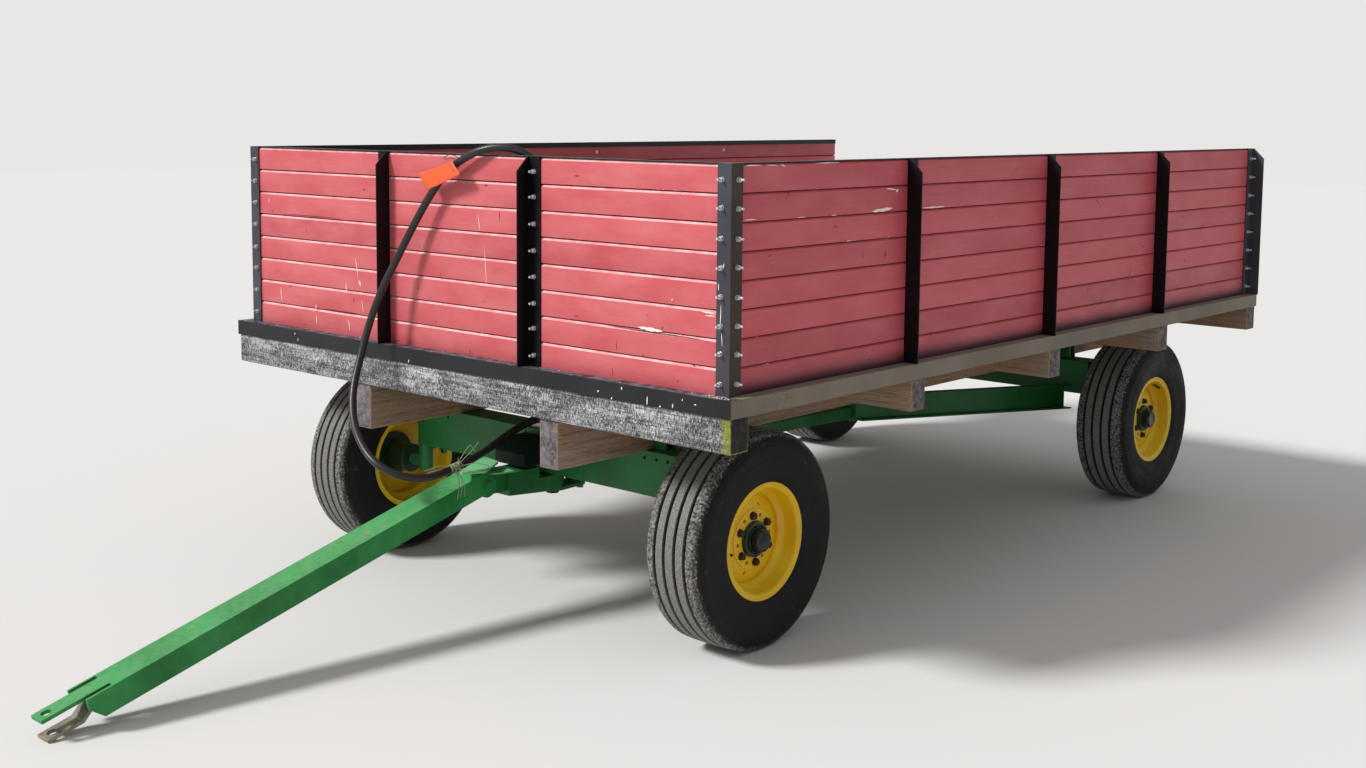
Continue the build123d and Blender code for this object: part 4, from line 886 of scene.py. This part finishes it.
# Upright beads on both sides of the wagon, in metres: place across, place along, foot and head. They are on
# the doubler's edges, the bracket's root, the kingpin tube and the hound.
upright_beads = [(0.232, front_axle_y - beam_face, 0.486, 0.634),
                 (0.232, front_axle_y + beam_face, 0.486, 0.634),
                 (0.082, front_axle_y - beam_face - 4 * mm, 0.534, 0.63),
                 (0.747, front_axle_y - tube_edge, 0.486, 0.6),
                 (0.747, front_axle_y + tube_edge, 0.486, 0.6),
                 (0.61, rear_axle_y - beam_face - 1 * mm, 0.48, 0.518)]
bm = bmesh.new()
for side in (1, -1):
    for x, y, foot, head in upright_beads:
        add_bead(bm, Vector((side * x, y, foot)), Vector((side * x, y, head)))
bmesh.ops.recalc_face_normals(bm, faces=bm.faces)
finish_piece("weld_beads_on_gear", bm, ["green_enamel_on_steel"], sharp=60)

# Nuts outside the box and carriage-bolt heads inside it, one to a board on every post and stake
nuts = bmesh.new()
heads = bmesh.new()
rng = random.Random(4)
for k in range(board_count):
    z = board_low.z + (k + 0.5) * board_pitch
    for side in (1, -1):
        spin = rng.uniform(0, 1)
        forwards, sideways = (0, -1, 0), (side, 0, 0)
        leg_x = side * (board_face + side_leg_stands)
        places = [(side * (post_high.x - front_post_nut), bed_front, forwards),
                  (side * post_high.x, bed_front + side_post_nut, sideways),
                  (side * front_stake_nut, bed_front, forwards)]
        for x, y, direction in places + [(leg_x, y, sideways) for y in side_stake_nuts]:
            add_bolt(nuts, Vector((x, y, z + rng.uniform(-3, 3) * mm)), direction, spin)
        add_bolt(nuts, Vector((leg_x, rear_post_high.y - rear_post_nut, z)), sideways, spin)
        inner_x = side * (board_face - board_thickness)
        for x, y, direction in ([(inner_x, y, (-side, 0, 0)) for y in side_stake_nuts]
                                + [(side * front_stake_nut, board_high.y, (0, 1, 0))]):
            add_stud(heads, Vector((x, y, z)), towards(direction), 10 * mm, 3 * mm, 14, 5 * mm)
finish_piece("wall_nuts_and_threads", nuts, ["zinc_plated_steel"], sharp=30)
finish_piece("carriage_bolt_heads", heads, ["zinc_plated_steel"], sharp=30)

# Flakes of old paint and chaff lying on the front ledge
bm = bmesh.new()
rng = random.Random(77)
for k in range(44):
    across = rng.choice((1.27, 1.3, 1.24, rng.uniform(-1.3, 1.3)))
    spot = Vector((across + rng.uniform(-0.02, 0.02), post_low.y - rng.uniform(3, 34) * mm, post_low.z))
    size = Vector((rng.uniform(2, 9), rng.uniform(1.5, 3), rng.uniform(0.8, 2))) * mm
    bmesh.ops.create_cube(bm, size=1, matrix=Matrix.Translation(spot + Vector((0, 0, size.z / 2)))
                          @ Matrix.Rotation(rng.uniform(0, 3), 4, "Z") @ Matrix.Diagonal((*size, 1)))
finish_piece("paint_crumbs_on_ledge", bm, ["bare_wood_under_paint"], sharp=30)


# Timbers of the bed

def make_timbers(name, node, finish, along, edge, warp, cuts, spans):
    """Fill a CAD node's box with timbers; a span is where one starts and ends across, and its seed."""
    low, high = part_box(node)
    bm = bmesh.new()
    for start, end, seed in spans:
        near, far = low.copy(), high.copy()
        near[1 - along] = start
        far[1 - along] = end
        lay_timber(bm, near, far, along, edge * mm, warp * mm, seed, cuts)
    finish_piece(name, bm, [finish], [node], sharp=50)


timber_width = 90 * mm
plank_count = 14
plank_gap = 4 * mm
header_low, header_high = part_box("header_sill")
sill_low, sill_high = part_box("cross_sills")
sill_pitch = (sill_high.y - sill_low.y - timber_width) / 3
sill_starts = [sill_low.y + k * sill_pitch for k in range(4)]
stringer_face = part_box("stringers")[1].x
plank_low, plank_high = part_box("deck_planks")
plank_pitch = (plank_high.x - plank_low.x + plank_gap) / plank_count
plank_starts = [plank_low.x + k * plank_pitch for k in range(plank_count)]
make_timbers("header_timber", "header_sill", "header_with_worn_black_coat", 0, 5, 1.6, 60,
             [(header_low.y, header_high.y, 11)])
make_timbers("cross_sill_timbers", "cross_sills", "sawn_sill_softwood", 0, 4, 1.6, 50,
             [(start, start + timber_width, 20 + k) for k, start in enumerate(sill_starts)])
make_timbers("stringer_timbers", "stringers", "sawn_sill_softwood", 1, 5, 1.8, 60,
             [(stringer_face - timber_width, stringer_face, 41),
              (-stringer_face, timber_width - stringer_face, 39)])
make_timbers("deck_plank_boards", "deck_planks", "weathered_deck_plank", 1, 2, 0.8, 40,
             [(start, start + plank_pitch - plank_gap, 60 + k) for k, start in enumerate(plank_starts)])


# Hose ends, its tag and its tie

def hose_end(name, share, studs, material, replaces=()):
    """Finish what sits on one end of the hose, from rows of millimetres and a number of sides."""
    point, way = on_hose(share)
    bm = bmesh.new()
    for along, radius, height, sides, top_radius, chamfer in studs:
        add_stud(bm, point + way * along * mm, towards(way), radius * mm, height * mm, sides, top_radius * mm,
                 chamfer * mm)
    return finish_piece(name, bm, [material], replaces, sharp=35)


boot = hose_end("hose_boot_at_beam", 0, ((-34, 21, 22, 6, 21, 2), (-12, 19, 44, 28, 15.2, 1)),
                "black_hose_rubber")
coupler = hose_end("hose_end_coupler", 1, ((-30, 16.5, 34, 28, 16.5, 1.5), (6, 17, 22, 6, 17, 2),
                                           (26, 13, 30, 28, 13, 1.5)),
                   "zinc_plated_steel", ["hose_coupler"])

tag_corners = [(-145, 1637), (48, 1688), (93, 1642), (-98, 1578)]
tag_eye = (53, 1652)
bm = bmesh.new()
bm.faces.new([bm.verts.new((x * mm, tag_low.y + 1 * mm, z * mm)) for x, z in tag_corners])
bmesh.ops.subdivide_edges(bm, edges=bm.edges, cuts=12, use_grid_fill=True)
for v in bm.verts:
    curl = (v.co.x - tag_low.x) / (tag_high.x - tag_low.x)
    v.co.y += 4 * mm * (sin(curl * pi * 1.3) - 0.5)
bmesh.ops.recalc_face_normals(bm, faces=bm.faces)
tag = finish_piece("hose_tag_card", bm, ["orange_coated_card"], ["hose_tag"], sharp=60)
tag.modifiers.new("card", "SOLIDIFY").thickness = 0.8 * mm

# The eyelet's ring: its inner edge stands 1 mm further out than its outer edge
eyelet_steps = 20
bm = bmesh.new()
for k in range(eyelet_steps):
    here, there = 2 * pi * k / eyelet_steps, 2 * pi * (k + 1) / eyelet_steps
    bm.faces.new([bm.verts.new(((tag_eye[0] + radius * cos(angle)) * mm, tag_low.y - stands * mm,
                                (tag_eye[1] + radius * sin(angle)) * mm))
                  for angle, radius, stands in ((here, 4, 1.6), (here, 7.5, 0.6), (there, 7.5, 0.6),
                                                (there, 4, 1.6))])
bmesh.ops.remove_doubles(bm, verts=bm.verts, dist=merge_distance)
bmesh.ops.recalc_face_normals(bm, faces=bm.faces)
eyelet = finish_piece("tag_eyelet", bm, ["zinc_plated_steel"])

wire_runs = (((53, -4, 1652), (60, 6, 1672), (44, 18, 1694), (22, 10, 1700), (2, 4, 1690), (-8, 6, 1704)),
             ((53, 2, 1652), (74, 14, 1664), (66, 26, 1690), (38, 22, 1708), (10, 12, 1712), (-4, 4, 1698)))
wire_tie = lay_cord("tag_wire_tie", "black_hose_rubber", 1.3 * mm,
                    [[(x * mm, tag_low.y + y * mm, z * mm) for x, y, z in run] for run in wire_runs])

# Twine: turns round the hose at the latch, and its loose ends, which are thinner
tie_middle = middle_of("hose_tie")
nearest = min(range(len(hose_line)), key=lambda k: (hose_line[k] - tie_middle).length)
tie_point, tie_way = on_hose(nearest / (len(hose_line) - 1))
tie_turn = towards(tie_way)
twine_lies = 15.5
turn_count = 11
rng = random.Random(31)
strands = []
for k in range(turn_count):
    spread = rng.uniform(-20, 20)
    slant = rng.uniform(-9, 9)
    strands.append([tie_point + tie_turn @ Vector(((twine_lies + rng.uniform(0, 2)) * cos(a * pi / 6),
                                                   (twine_lies + rng.uniform(0, 2)) * sin(a * pi / 6),
                                                   spread + slant * cos(a * pi / 6))) * mm
                    for a in range(13)])
loose_ends = [((14, -7, 6), (33, 8, 34), (55, 35, 66), (69, 55, 98)),
              ((11, -6, 8), (30, 8, 44), (44, 28, 84), (53, 34, 88), (65, 41, 64)),
              ((2, -17, -4), (-26, -47, -2), (-59, -79, -16), (-91, -97, -34)),
              ((3, -16, 4), (-22, -41, 14), (-47, -68, 2), (-72, -85, -10)),
              ((0, -18, -8), (-17, -42, -14), (-38, -63, -14), (-63, -80, -26)),
              ((17, -7, -8), (38, -1, -30), (48, -3, -66), (41, -10, -100)),
              ((14, -9, -8), (34, -5, -36), (36, -11, -74), (30, -13, -108)),
              ((20, -4, -6), (44, 4, -40), (54, 5, -76), (51, 0, -100)),
              ((17, -4, 2), (52, 17, -6), (81, 45, -8), (97, 72, 2)),
              ((15, -2, 6), (53, 31, 22), (80, 60, 20), (97, 81, 8)),
              ((10, -2, 10), (19, 3, 26), (17, 2, 40))]
strands += [[tie_point + Vector(p) * mm for p in run] for run in loose_ends]
shares = [1] * turn_count + [0.7] * len(loose_ends)
twine = lay_cord("sisal_twine_knot", "baler_twine_sisal", 1.9 * mm, strands, shares)
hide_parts("hose_tie")


# Light, floor and background

sun_data = bpy.data.lights.new("front_right_softbox", "SUN")
sun_data.energy = 3.3
sun_data.angle = radians(12)
sun = bpy.data.objects.new("front_right_softbox", sun_data)
scene.collection.objects.link(sun)
sun.matrix_world = Vector((0.42, 0.66, -0.62)).to_track_quat("-Z", "Y").to_matrix().to_4x4()

world = bpy.data.worlds.new("studio")
scene.world = world
world.use_nodes = True
air = world.node_tree
lit = air.nodes["Background"]
lit.inputs["Color"].default_value = linear("#FFFFFF")
lit.inputs["Strength"].default_value = 0.44
seen = add_node(air, "Background", linear("#E8E7E5"), 1.0)
ray = add_node(air, "LightPath")
both = add_node(air, "MixShader", ray.outputs["Is Camera Ray"], lit, seen)
air.links.new(both.outputs[0], air.nodes["World Output"].inputs["Surface"])

floor_paper = new_material("studio_floor", 0.9, specular=0.1)[0]
floor_paper.node_tree.nodes["Principled BSDF"].inputs["Base Color"].default_value = linear("#E3E2E0")
bm = bmesh.new()
bmesh.ops.create_grid(bm, x_segments=1, y_segments=1, size=40)
floor = as_object("floor", bm)
floor.data.materials.append(floor_paper)
